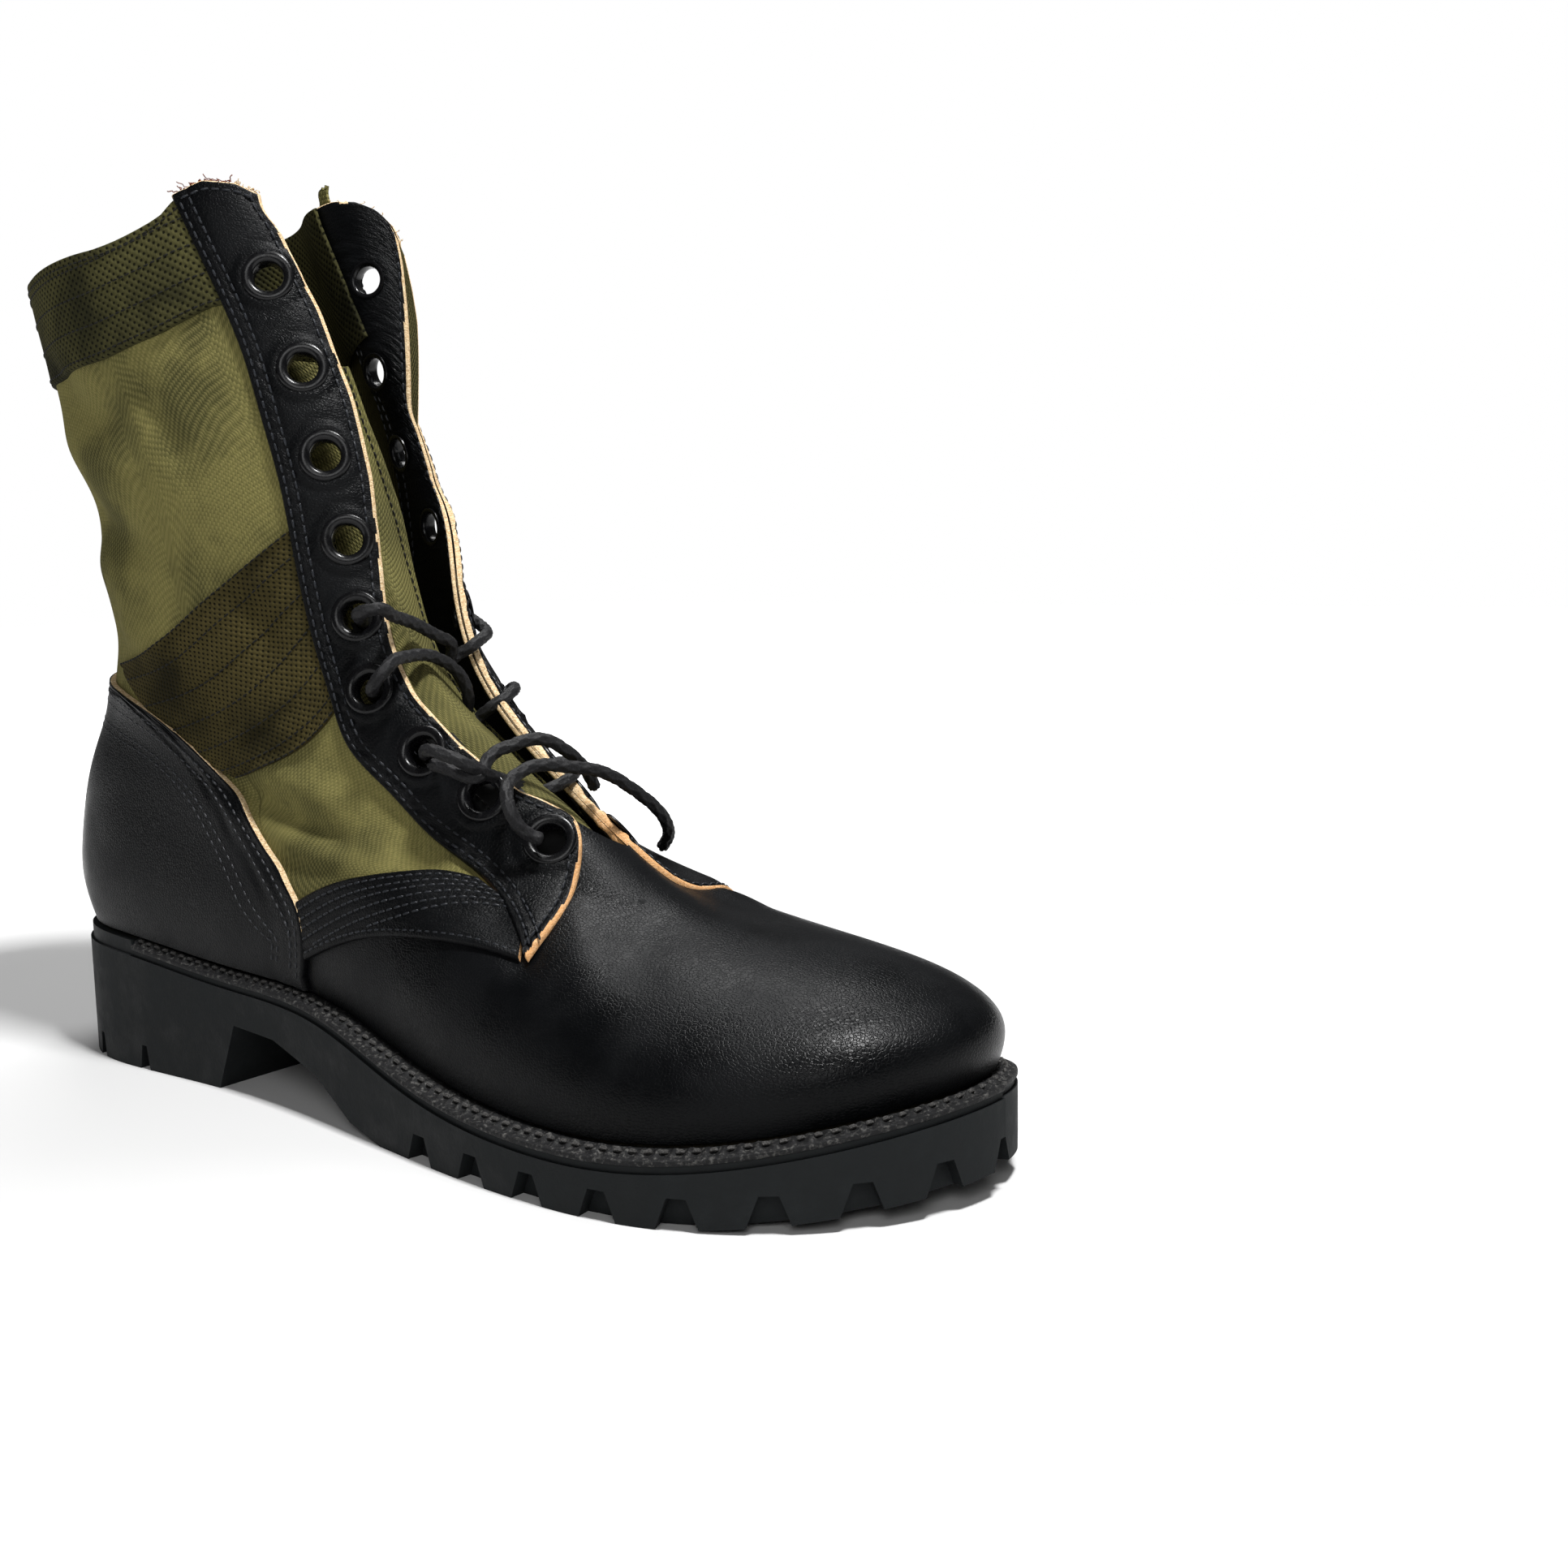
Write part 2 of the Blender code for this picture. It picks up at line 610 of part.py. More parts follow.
def make_outsole():
    """Heel block, waist and lugged forefoot in one piece."""
    sole = plate("outsole", 0, underside, lambda x: sole_line(x) - EDGE_STACK, "rubber",
                 [HEEL_BREAST, *ARCH_X, 175, 190, SPRING_START, 262])
    notches = bmesh.new()
    tip, _ = outline_at(0, 1)
    notch(notches, tip, np.array((-1, 0)), TIP_NOTCH, NOTCH_FOOT, NOTCH_TOP, NOTCH_HEIGHT)
    for side in (-1, 1):
        for k in range(1, 9):
            centre, inward = outline_at(NOTCH_PITCH * k, side)
            depth = min(LUG_DEPTH, TIP_NOTCH + 3 * k)
            notch(notches, centre, inward, depth, NOTCH_FOOT, NOTCH_TOP, NOTCH_HEIGHT)
        for x in (26, 50):
            centre = np.array((x, edge_y(x, 0, side)))
            notch(notches, centre, np.array((0, -side)), LUG_DEPTH, 3, 2, NOTCH_HEIGHT)
    cut(sole, cutter("cut_notches", notches))
    channels = bmesh.new()
    for start, end in ((26, 66), (158, 268)):
        for side in (-1, 1):
            x = np.linspace(start, end, 7)
            near = edge_y(x, LUG_DEPTH - 1, side)
            far = edge_y(x, LUG_DEPTH - 1 + CHANNEL, side)
            rim = [*zip(x, near), *zip(x[::-1], far[::-1])]
            prism(channels, rim, -3, CHANNEL_DEPTH)
    cut(sole, cutter("cut_channels", channels))
    grooves = bmesh.new()
    for x, lean in ((42, 0), (172, 5), (196, -5), (220, 5), (244, -5)):
        outer = edge_y(x, LUG_DEPTH + 1, -1)
        inner = edge_y(x, LUG_DEPTH + 1, 1)
        half = CHANNEL / 2
        rim = [(x - half - lean, outer), (x + half - lean, outer), (x + half + lean, inner), (x - half + lean, inner)]
        prism(grooves, rim, -3, CHANNEL_DEPTH - .5)
    cut(sole, cutter("cut_grooves", grooves))


def make_midsole():
    """The thin sole over the outsole, which shows as a strip round the heel."""
    def top(x):
        thick = np.where(x < MIDSOLE_STEP, EDGE_STACK - 2 * CLEAR, MIDSOLE)
        return sole_line(x) - EDGE_STACK + CLEAR + thick

    plate("midsole", MIDSOLE_INSET, lambda x: sole_line(x) - EDGE_STACK + CLEAR, top, "rubber",
          [MIDSOLE_STEP - 1, MIDSOLE_STEP + 1])


def make_welt():
    """The strip that the upper is sewn to, from the heel's middle round the toe."""
    start = place(WELT_START, sole_line(WELT_START), -1)[0]
    end = place(WELT_START, sole_line(WELT_START), 1)[0] + 1
    a = np.linspace(start, end, 47)
    grids = []
    for out in (ledge(a) - .3, np.full_like(a, -WALL - .6)):
        line = plan_line(a, out)
        z = sole_line(line[:, 0])
        low = np.c_[line, z + MIDSOLE + 2.2 * CLEAR - EDGE_STACK]
        high = np.c_[line, z - 2 * CLEAR]
        grids.append(np.stack([low, high]))
    finish("welt", sheet(bmesh.new(), *grids), "welt")


def make_insole():
    """The filler and footbed that the foot stands on."""
    a = np.linspace(.012, .488, 22)
    inset = np.full_like(a, -WALL - INSOLE_INSET)
    outer, inner = plan_line(a, inset), plan_line(-a, inset)
    across = np.linspace(0, 1, 4)[:, None, None]
    plan = outer * (1 - across) + inner * across
    z = sole_line(plan[..., 0])
    top = np.concatenate([plan, (z + INSOLE_THICK)[..., None]], -1)
    low = np.where(plan[..., 0] < HEEL_FILL, 0.0, MIDSOLE - EDGE_STACK + 2 * CLEAR)
    foot = np.concatenate([plan, (z + low)[..., None]], -1)
    finish("insole", sheet(bmesh.new(), top, foot), "board")


# The upper and what is sewn to it


def spaced(line, count, offset=0):
    """A line of (a, t) at even steps over the surface, moved sideways by a distance: to the left of its run if above 0."""
    at = np.array(line, float)
    share = np.linspace(0, 1, count)
    length = along(surface(at[:, 0], at[:, 1]))
    at = np.stack([np.interp(share, length, at[:, k]) for k in range(2)], 1)
    run = np.gradient(at * SHEET_SCALE, axis=0)
    run /= np.linalg.norm(run, axis=1, keepdims=True)
    return at + np.stack([-run[:, 1], run[:, 0]], 1) * offset / SHEET_SCALE


def eyelet_places():
    """(a, t) of each eyelet, by side."""
    return {-1: [(row[1], row[0]) for row in EYELETS], 1: [(row[3], row[2]) for row in EYELETS]}


def standing_on(a, t):
    """Matrix that puts an upright piece on the surface, its Z along the surface's normal."""
    up = Vector(normal(a, t))
    point = Vector(surface(a, t))
    across = Vector((0, 0, 1)).cross(up).normalized()
    turn = Matrix((across, up.cross(across), up)).transposed()
    where = Matrix.Translation((point - Vector((CENTRE_X, CENTRE_Y, 0))) * MM)
    return where @ turn.to_4x4()


def throat_rim():
    """The throat's edge from the outer seam round its bottom to the inner seam, where the inner side's a is over .5."""
    outer, inner = SEAM[-1][-1], SEAM[1][-1]
    down = [(row[1], row[0]) for row in THROAT[::-1] if row[0] < outer[1]]
    up = [(row[2] + 1, row[0]) for row in THROAT if row[0] < inner[1]]
    return [outer, *down, (.5, THROAT_START), *up, (inner[0] + 1, inner[1])]


def make_vamp():
    """The hollow leather front of the foot, open underneath and at the throat."""
    outer = spaced(SEAM[-1], SEAM_ROWS, -SEAM_GAP)
    inner = spaced([(a + 1, t) for a, t in SEAM[1]], SEAM_ROWS, SEAM_GAP)
    top = spaced(throat_rim(), VAMP_COLUMNS)
    top[0], top[-1] = outer[-1], inner[-1]
    foot = np.stack([np.linspace(outer[0, 0], inner[0, 0], VAMP_COLUMNS), np.zeros(VAMP_COLUMNS)], 1)
    at = patch(foot, top, outer, inner)
    return finish("vamp", sheet(bmesh.new(), raised(at, 0), raised(at, -WALL)), "leather")


def make_shaft():
    """The hollow canvas shaft and heel, open at the collar, down the front and underneath."""
    outer = spaced(SEAM[-1], SEAM_ROWS, SEAM_GAP)[::-1]
    inner = spaced(SEAM[1], SEAM_ROWS, -SEAM_GAP)
    heel = np.linspace(outer[-1], inner[0], HEEL_STEPS)[1:-1]
    foot = np.concatenate([outer, heel, inner])
    sides = []
    for side, start in ((-1, foot[0]), (1, foot[-1])):
        height = np.r_[start[1], np.linspace(start[1] + .03, 1, SHAFT_ROWS)]
        rim = np.stack([throat_edge(height, side), height], 1)
        rim[0] = start
        top = collar(rim[-1, 0])
        rim[1:, 1] = start[1] + (rim[1:, 1] - start[1]) * (top - start[1]) / (1 - start[1])
        sides.append(spaced(rim, SHAFT_ROWS))
    share = along(surface(foot[:, 0], foot[:, 1]))
    a = sides[0][-1, 0] * (1 - share) + sides[1][-1, 0] * share
    top = np.stack([a, [collar(x) for x in a]], 1)
    at = patch(foot, top, *sides, share)
    return finish("shaft", sheet(bmesh.new(), raised(at, 0), raised(at, -WALL)), "canvas")


def facing_edges(side, count):
    """The facing's back and front edges from the top down to its tip, as evenly spaced (a, t)."""
    back = [place(x, z, side) for x, z in FACING_BACK[side]]
    back[0] = (back[0][0], collar(back[0][0]))
    t = np.r_[np.linspace(.95, .62, 6), .55, .50, .45, .41, .385]
    front = [(float(throat_edge(h, side)), h) for h in t]
    corner = front[0][0]
    front.insert(0, (corner, collar(corner)))
    front += [place(x, z, side) for x, z in FACING_TIP[side]]
    return evenly(back, count), evenly(front, count)


def make_facing(side, name):
    back, front = facing_edges(side, 24)
    share = np.linspace(0, 1, 5)[:, None, None]
    at = back[None] * (1 - share) + front[None] * share
    return overlay(name, at, "leather", OVER_FACING, OVER_FACING + FACING)


def make_counter():
    edge = {side: line_on(COUNTER_EDGE, side, 11)[::-1] for side in (-1, 1)}
    share = np.linspace(-1, 1, 25)
    share = .5 + .5 * (.72 * share + .28 * share**3)
    foot_a = edge[-1][0, 0] * (1 - share) + edge[1][0, 0] * share
    foot = np.stack([foot_a, np.full_like(foot_a, .006)], 1)
    ends = edge[-1][-1], edge[1][-1]
    a = ends[0][0] * (1 - share) + ends[1][0] * share
    crest = up_to(0, [(-50, COUNTER_TOP), (50, COUNTER_TOP)])
    rise = (crest - ends[0][1]) * (1 - (a / ends[0][0])**2)
    top = np.stack([a, ends[0][1] * (1 - share) + ends[1][1] * share + rise], 1)
    left, right = edge[-1].copy(), edge[1].copy()
    left[0], right[0] = foot[0], foot[-1]
    overlay("counter", patch(foot, top, left, right, share), "leather", OVER_FACING)


def make_saddle(side, name):
    """The sewn band over the vamp's upper edge, between the counter and the facing."""
    gap = .003 * -side
    top = line_on(SADDLE_TOP[side], side, 11)
    foot = line_on(SADDLE_FOOT[side], side, 11)
    left = line_on([SADDLE_FOOT[side][0], SADDLE_TOP[side][0]], side, 4)
    facing_x, facing_z = FACING_BACK[side][-2]
    right = line_on([SADDLE_FOOT[side][-1], (facing_x - 1.2, facing_z - .6), SADDLE_TOP[side][-1]], side, 4)
    at = patch(foot, top, left, right)
    at[:, :, 0] += gap * (np.linspace(1, -1, 11))[None]
    overlay(name, at, "leather")


def make_collar_band():
    """Webbing round the collar from facing to facing."""
    share = np.linspace(0, 1, 5)[:, None]
    across = np.linspace(0, 1, 29)[None]
    reach = []
    for side in (-1, 1):
        edge = evenly([place(x, z, side) for x, z in FACING_BACK[side][:4]], 31)[::-1]
        low = up_to(place(*FACING_BACK[side][2], side)[0], COLLAR_FOOT)
        high = collar(edge[-1, 0])
        t = low + (high - low) * share
        reach.append(np.interp(t, edge[:, 1], edge[:, 0]) + side * BAND_GAP)
    a = reach[0] * (1 - across) + reach[1] * across
    foot = np.array([[up_to(x, COLLAR_FOOT) for x in a[0]]])
    top = np.array([[collar(x) for x in a[-1]]])
    at = np.stack([a, foot * (1 - share) + top * share], -1)
    overlay("collar_band", at, "webbing", OVER_FACING, OVER_FACING + WEBBING)


def make_ankle_band(side, name):
    """Webbing that runs from the facing down to the counter."""
    margin = np.array((-.006 * -side, 0))
    top = line_on(ANKLE_TOP[side], side, 11)
    foot = line_on(ANKLE_FOOT[side], side, 11)
    hem = [(x + 1.5, z + 2.5) for x, z in COUNTER_EDGE[1:4]][::-1]
    left = line_on([ANKLE_FOOT[side][0], *hem[1:], ANKLE_TOP[side][0]], side, 5)
    facing = [p for p in FACING_BACK[side] if ANKLE_FOOT[side][-1][1] < p[1] < ANKLE_TOP[side][-1][1]][::-1]
    right = line_on([ANKLE_FOOT[side][-1], *[(x - 1, z) for x, z in facing], ANKLE_TOP[side][-1]], side, 5)
    at = patch(foot, top, left, right) + margin * np.linspace(0, 1, 11)[None, :, None]
    overlay(name, at, "webbing", high=OVER + WEBBING)


def make_back_strap():
    """Webbing up the back seam, from the counter to the collar band."""
    low, high = COUNTER_TOP + 1.5, COLLAR_FOOT[0][1] - 1.0
    z = np.linspace(low, high, 9)
    middle = np.array([up_to(0, [(-60, h), (60, h)]) for h in z])
    half = .034
    share = np.linspace(-1, 1, 4)
    at = np.stack(np.broadcast_arrays(half * share[:, None], middle[None]), -1)
    overlay("back_strap", at, "webbing", high=OVER + WEBBING)


def make_tongue():
    """Canvas tongue under the facings, sewn in at the vamp, narrower and deeper towards its free top."""
    rows = np.array(TONGUE, float)
    t = np.linspace(rows[0, 0], rows[-1, 0], 13)
    left, right, under = spline(rows[:, 0], rows[:, 1:], t).T
    share = np.linspace(0, 1, 7)[:, None]
    at = np.stack(np.broadcast_arrays(left * (1 - share) + right * share, t[None]), -1)
    depth = np.broadcast_to(under[None], at.shape[:-1])
    finish("tongue", sheet(bmesh.new(), raised(at, -depth), raised(at, -depth - TONGUE_THICK)), "canvas")


def make_eyelets(pierced):
    """Nine enamelled eyelets a side, each in a hole through the facing and what is under it."""
    top = OVER_FACING + FACING + .45
    profile = [
        (EYELET_HOLE, -WALL - .2),
        (EYELET_BARREL, -WALL - .2),
        (EYELET_BARREL, top + .35),
        (EYELET_FLANGE, top + .35),
        (EYELET_HOLE + .2, top + 1.2),
    ]
    holes = bmesh.new()
    for side, places in eyelet_places().items():
        word = "outer" if side < 0 else "inner"
        for number, (a, t) in enumerate(places, 1):
            matrix = standing_on(a, t)
            obj = finish(f"eyelet_{word}_{number}", lathe(profile, EYELET_SIDES), "enamel", placed=False)
            obj.matrix_local = matrix
            tool = bmesh.new()
            bmesh.ops.create_cone(tool, cap_ends=True, segments=8, radius1=EYELET_BARREL + .45,
                                  radius2=EYELET_BARREL + .45, depth=14)
            back_to_mm = Matrix.Translation((CENTRE_X, CENTRE_Y, 0)) @ Matrix.Scale(1 / MM, 4) @ matrix
            for vert in tool.verts:
                vert.co = back_to_mm @ (vert.co * MM)
            piece = bpy.data.meshes.new("hole")
            tool.to_mesh(piece)
            tool.free()
            holes.from_mesh(piece)
            bpy.data.meshes.remove(piece)
    tool = cutter("cut_eyelets", holes)
    for obj in pierced:
        cut(obj, tool)


def make_vents():
    """Two screened drain vents low in the arch, on the inner side."""
    profile = [(VENT_RADIUS, 0), (VENT_RADIUS, .7), (VENT_RADIUS - 1.4, 1.3)]
    for number, (x, height) in enumerate(VENTS, 1):
        a, t = place(x, sole_line(x) + height, 1)
        bm = bmesh.new()
        rings = []
        for radius, z in profile:
            ring = []
            for k in range(VENT_SIDES):
                angle = 2 * np.pi * k / VENT_SIDES
                ring.append(bm.verts.new((radius * np.cos(angle), radius * np.sin(angle), z + OVER + .2)))
            rings.append(ring)
        for low, high in zip(rings, rings[1:]):
            for k in range(VENT_SIDES):
                n = (k + 1) % VENT_SIDES
                bm.faces.new((low[k], low[n], high[n], high[k]))
        bm.faces.new(rings[0][::-1])
        bm.faces.new(rings[-1])
        finish(f"vent_{number}", bm, "screen", placed=False).matrix_local = standing_on(a, t)


def cord(name, points, material="cord"):
    """A round lace along a line of points, with closed ends."""
    data = bpy.data.curves.new(name, "CURVE")
    data.dimensions = "3D"
    data.bevel_depth = LACE / 2 * MM
    data.bevel_resolution = 2
    data.use_fill_caps = True
    line = data.splines.new("POLY")
    line.points.add(len(points) - 1)
    for point, (x, y, z) in zip(line.points, points):
        point.co = ((x - CENTRE_X) * MM, (y - CENTRE_Y) * MM, z * MM, 1)
    data.materials.append(look(material))
    obj = bpy.data.objects.new(name, data)
    bpy.context.scene.collection.objects.link(obj)
    obj.parent = BOOT


def smooth_line(points, spacing):
    """A line of points, smoothed and spaced evenly."""
    points = np.asarray(points, float)
    fine = spline(along(points), points, np.linspace(0, 1, 400))
    length = np.linalg.norm(np.diff(fine, axis=0), axis=1).sum()
    even = np.linspace(0, 1, int(round(length / spacing)) + 1)
    return np.stack([np.interp(even, along(fine), fine[:, k]) for k in range(3)], 1)


def make_lace():
    """Crossings from eyelet to eyelet over the throat, and the two loose ends."""
    for number, (start_a, start_t, edge_t, row) in enumerate(CROSSINGS, 1):
        _, _, inner_t, inner_a = EYELETS[row - 1]
        at = np.array([(start_a, start_t),
                       (float(throat_edge(edge_t, -1)), edge_t),
                       (float(throat_edge(inner_t, 1)), inner_t),
                       (inner_a, inner_t)])
        line = raised(at, np.array(LACE_LIFT))
        cord(f"lace_bar_{number}", smooth_line(line, 2.5 * LACE))
    cord("lace_loop", smooth_line(LOOP_ROUTE, 2.5 * LACE))
    cord("lace_tail", smooth_line(TAIL_ROUTE, 2.5 * LACE))


def build():
    make_outsole()
    make_midsole()
    make_welt()
    make_insole()
    pierced = [make_vamp(), make_shaft(), make_facing(-1, "facing_outer"), make_facing(1, "facing_inner")]
    make_eyelets(pierced)
    make_counter()
    make_saddle(-1, "saddle_outer")
    make_saddle(1, "saddle_inner")
    make_collar_band()
    make_ankle_band(-1, "ankle_band_outer")
    make_ankle_band(1, "ankle_band_inner")
    make_back_strap()
    make_tongue()
    make_lace()
    make_vents()


for old in list(bpy.data.objects):
    bpy.data.objects.remove(old, do_unlink=True)
BOOT = bpy.data.objects.new("boot", None)
bpy.context.scene.collection.objects.link(BOOT)
build()
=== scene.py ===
"""Looks of the jungle boot: leather, canvas, webbing, rubber, stitches and lace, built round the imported
model.

+X runs to the toe, -Y is the outer side and +Z is up. Lengths are in millimetres until a mesh is made.
"""

import bmesh
import bpy
import numpy as np
from mathutils import Matrix, Vector
from mathutils.kdtree import KDTree


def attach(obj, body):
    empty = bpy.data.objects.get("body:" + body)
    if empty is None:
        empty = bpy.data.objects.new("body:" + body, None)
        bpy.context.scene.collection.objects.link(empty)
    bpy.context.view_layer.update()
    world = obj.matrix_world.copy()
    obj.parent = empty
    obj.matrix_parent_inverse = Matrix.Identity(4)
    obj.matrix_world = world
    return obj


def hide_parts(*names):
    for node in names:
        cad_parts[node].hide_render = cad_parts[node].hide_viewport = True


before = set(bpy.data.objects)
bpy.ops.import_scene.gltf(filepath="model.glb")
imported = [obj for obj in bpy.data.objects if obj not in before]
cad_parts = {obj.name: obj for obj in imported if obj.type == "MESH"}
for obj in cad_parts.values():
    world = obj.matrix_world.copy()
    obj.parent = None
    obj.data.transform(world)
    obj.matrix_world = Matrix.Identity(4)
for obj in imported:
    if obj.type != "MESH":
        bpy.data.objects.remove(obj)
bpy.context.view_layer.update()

MM = 0.001
SIDES = {-1: "outer", 1: "inner"}

# Where the boot stands: the middle of its box becomes the origin
CENTRE_X = 143.4
CENTRE_Y = -2.8

# Driving sizes
WALL = 2.2
CLEAR = 0.35
TONGUE_THICK = 1.3
LEDGE_HEEL = 4.2
LEDGE_BALL_OUTER = 6.2
LEDGE_BALL_INNER = 4.8
EDGE_STACK = 4.9
MIDSOLE = 1.6
TOE_SPRING = 6.5
SPRING_START = 240.0
HEEL_BREAST = 84.0
BREAST_LEAN = 8.0
NOTCH_PITCH = 20.3
NOTCH_HEIGHT = 7.0
NOTCH_FOOT = 10.0
NOTCH_TOP = 4.5
LUG_DEPTH = 16.0
TIP_NOTCH = 7.0
CHANNEL = 4.0
CHANNEL_DEPTH = 5.5
INSOLE_THICK = 2.0
HEEL_FILL = 64.0
MIDSOLE_INSET = 0.8
MIDSOLE_STEP = 46.0

# Rough millimetres for one unit of a and of t, to turn a small distance into them
SHEET_SCALE = np.array((500.0, 450.0))

# Sections of the upper, from the sole line up to above the collar. Each one is a sheet that fans from a
# point at the back to a point at the front. Columns: back x and z, front x, z and y, half-widths of the
# outer side at heel, waist and ball, the same of the inner side, share of the length that rounds off at
# back and front, how far the sheet follows the sole line's dips, how far the inner side of the throat sinks
# in, and how far the inner facing flares out in front of a hollow in the shaft.
SECTIONS = np.array([
    (1, 39, 301, 27, 6, 38.0, 40.0, 54.0, 37.0, 30.0, 44.0, .12, .24, 1.0, 0, 0),
    (-4.5, 52, 303.5, 37, 6, 39.5, 41.0, 54.5, 38.5, 32.5, 45.0, .13, .26, .90, 0, 0),
    (-4.5, 66, 294, 47, 6, 39.0, 39.5, 50.0, 38.5, 33.5, 42.0, .14, .32, .75, 0, 0),
    (-2, 80, 272, 53, 5, 37.5, 38.0, 43.0, 37.0, 34.5, 37.0, .15, .42, .50, 0, 0),
    (3, 93, 243, 57, 4, 36.2, 37.0, 37.0, 35.5, 34.5, 33.0, .17, .48, .32, 2, 0),
    (6.5, 104, 218, 64.5, 2, 35.3, 36.2, 33.0, 36.0, 35.0, 30.0, .22, .50, .2, 6, 0),
    (9, 116, 194, 82, 0, 36.0, 36.5, 32.0, 36.0, 36.0, 30.0, .28, .50, .12, 9, 0),
    (11, 128, 168, 102, 0, 37.0, 38.0, 33.0, 37.0, 38.0, 33.0, .35, .48, .05, 11, 0),
    (9.3, 142, 148, 122, 0, 39.5, 40.0, 36.0, 39.0, 40.0, 36.0, .42, .50, 0, 11, 1),
    (8, 158, 138, 146, 0, 40.0, 41.0, 39.0, 40.0, 41.0, 39.0, .46, .50, 0, 11, 4),
    (-.2, 178, 132, 172, 0, 42.0, 42.5, 41.0, 41.0, 42.0, 41.0, .48, .50, 0, 9, 8),
    (-9, 202, 122, 200, 0, 42.0, 43.5, 42.0, 40.5, 41.0, 41.0, .48, .50, 0, 4, 11),
    (-22, 239, 103, 252, 0, 40.0, 43.0, 42.0, 40.0, 40.0, 40.0, .48, .50, 0, 0, 12),
])
ROWS_FINE = 161
SIDE_SAMPLES = 65

# Sole line, where the upper's lower edge runs: x and z
SOLE_LINE_X = (-10, 40, 85, 130, 170, 210, 260, 310)
SOLE_LINE_Z = (39, 38.5, 34, 31, 21.5, 16.5, 18, 28)

# Underside of the outsole between the heel and the forefoot: x and z
ARCH_X = (92, 110, 130, 146, 160)
ARCH_Z = (19, 18, 12, 3, 0)

# Throat: height along the sections, then how far round the boot the outer and the inner edge are
THROAT_START = .366
THROAT = np.array([
    (.372, .485, -.474),
    (.385, .473, -.464),
    (.41, .450, -.462),
    (.45, .436, -.460),
    (.50, .430, -.455),
    (.55, .436, -.446),
    (.62, .446, -.419),
    (.70, .453, -.374),
    (.78, .455, -.358),
    (.86, .450, -.369),
    (.93, .437, -.379),
    (.96, .425, -.381),
    (1.0, .405, -.382),
])

# Lines on the side view, each a row of (x, z)
COLLAR_TOP = {
    -1: [(-25, 225.5), (15, 226), (44, 229), (55, 229.8), (63, 231.5), (71, 234.3), (76.5, 237.2), (79.5, 241.5),
         (86, 244.5), (93, 243.5), (99, 240), (108, 230)],
    1: [(-25, 225.5), (5, 232), (18, 238), (30, 243), (46, 245.6), (60, 247.2), (73, 248.3), (80, 247.3), (86, 244),
        (90, 239.5), (93, 233), (97, 226)],
}
COLLAR_FOOT = [(-15, 196), (20, 197), (56, 200.5), (77, 206), (92, 212.5)]
FACING_BACK = {
    -1: [(78, 243), (85, 229), (93, 214), (100, 199), (106, 182), (111, 165), (114, 148), (118, 128), (124, 112),
         (131, 98), (145, 86), (161, 74), (177, 66), (191, 58.5), (203, 51)],
    1: [(66, 243), (73, 229), (80, 214), (87, 199), (94, 182), (100, 165), (103, 148), (108, 128), (114, 112),
        (122, 98), (137, 84), (155, 72), (172, 63), (190, 54), (206, 46)],
}
FACING_TIP = {-1: [(199, 66), (202, 59), (204, 50.5)], 1: [(203, 62), (207, 54), (209, 46)]}
COUNTER_EDGE = [(36, 109), (61, 102), (78, 93), (92, 83), (103, 72), (114, 61), (122, 52), (123.5, 43), (121.5, 36)]
COUNTER_TOP = 113.0
SADDLE_TOP = {-1: [(122, 56), (137, 62.5), (154, 66), (167, 67), (176, 65.7)],
              1: [(122, 55), (137, 61), (152, 64), (163, 64.5), (171, 62.6)]}
SADDLE_FOOT = {-1: [(126, 41), (138, 46), (151, 50), (170, 52.5), (187, 52.5), (201, 51)],
               1: [(126, 40), (138, 45), (151, 48), (170, 49.5), (189, 48.5), (204, 46)]}
ANKLE_TOP = {-1: [(38, 116.5), (67, 124), (84, 134), (100, 144), (113, 153)],
             1: [(38, 116.5), (62, 124), (77, 133), (91, 142), (102, 150)]}
ANKLE_FOOT = {-1: [(92, 87), (108, 92), (119, 98), (126.5, 106)],
              1: [(90, 87), (101, 91), (110, 97), (117, 106)]}

# Seam between the leather vamp and the canvas shaft, from the sole line up to the throat, as (a, t)
SEAM = {
    -1: [(.207, 0), (.208, .05), (.232, .105), (.28, .165), (.325, .2), (.352, .21), (.374, .24), (.383, .28),
         (.386, .35), (.395, .39), (.414, .4125), (.443, .43)],
    1: [(-.212, 0), (-.214, .05), (-.235, .095), (-.28, .142), (-.325, .168), (-.350, .183), (-.360, .23),
        (-.365, .29), (-.376, .35), (-.395, .398), (-.4275, .4205), (-.4613, .425)],
}

# Eyelets from the top down: height along the sections and how far round, of the outer one and then of the
# inner one
EYELETS = [
    (.892, .418, .916, -.346),
    (.806, .424, .821, -.331),
    (.721, .422, .731, -.335),
    (.644, .424, .654, -.364),
    (.576, .417, .584, -.398),
    (.499, .396, .507, -.414),
    (.432, .403, .440, -.424),
    (.393, .425, .401, -.431),
    (.356, .447, .364, -.447),
]

# Vents in the inner side's arch: x and height over the sole line
VENTS = [(143, 9), (162, 11)]

# Routes of the lace's two loose ends: x, y and z
LOOP_ROUTE = [
    (159.3, -27.5, 93.6),
    (168.5, -28.2, 92.4),
    (174, -26, 91),
    (173, -21, 95),
    (175, -14, 98),
    (178, -7, 99),
    (181, 0, 95),
    (181, 7, 89),
    (180, 11, 84),
]
TAIL_ROUTE = [
    (192, -22, 76),
    (189, -26, 79),
    (187, -28, 84),
    (184, -26, 88),
    (181, -20, 91),
    (182, -13, 93),
    (185, -5, 92),
    (188, 4, 90),
    (191, 14, 84),
    (192, 23, 77),
    (189, 30, 70),
    (183, 34, 65),
]

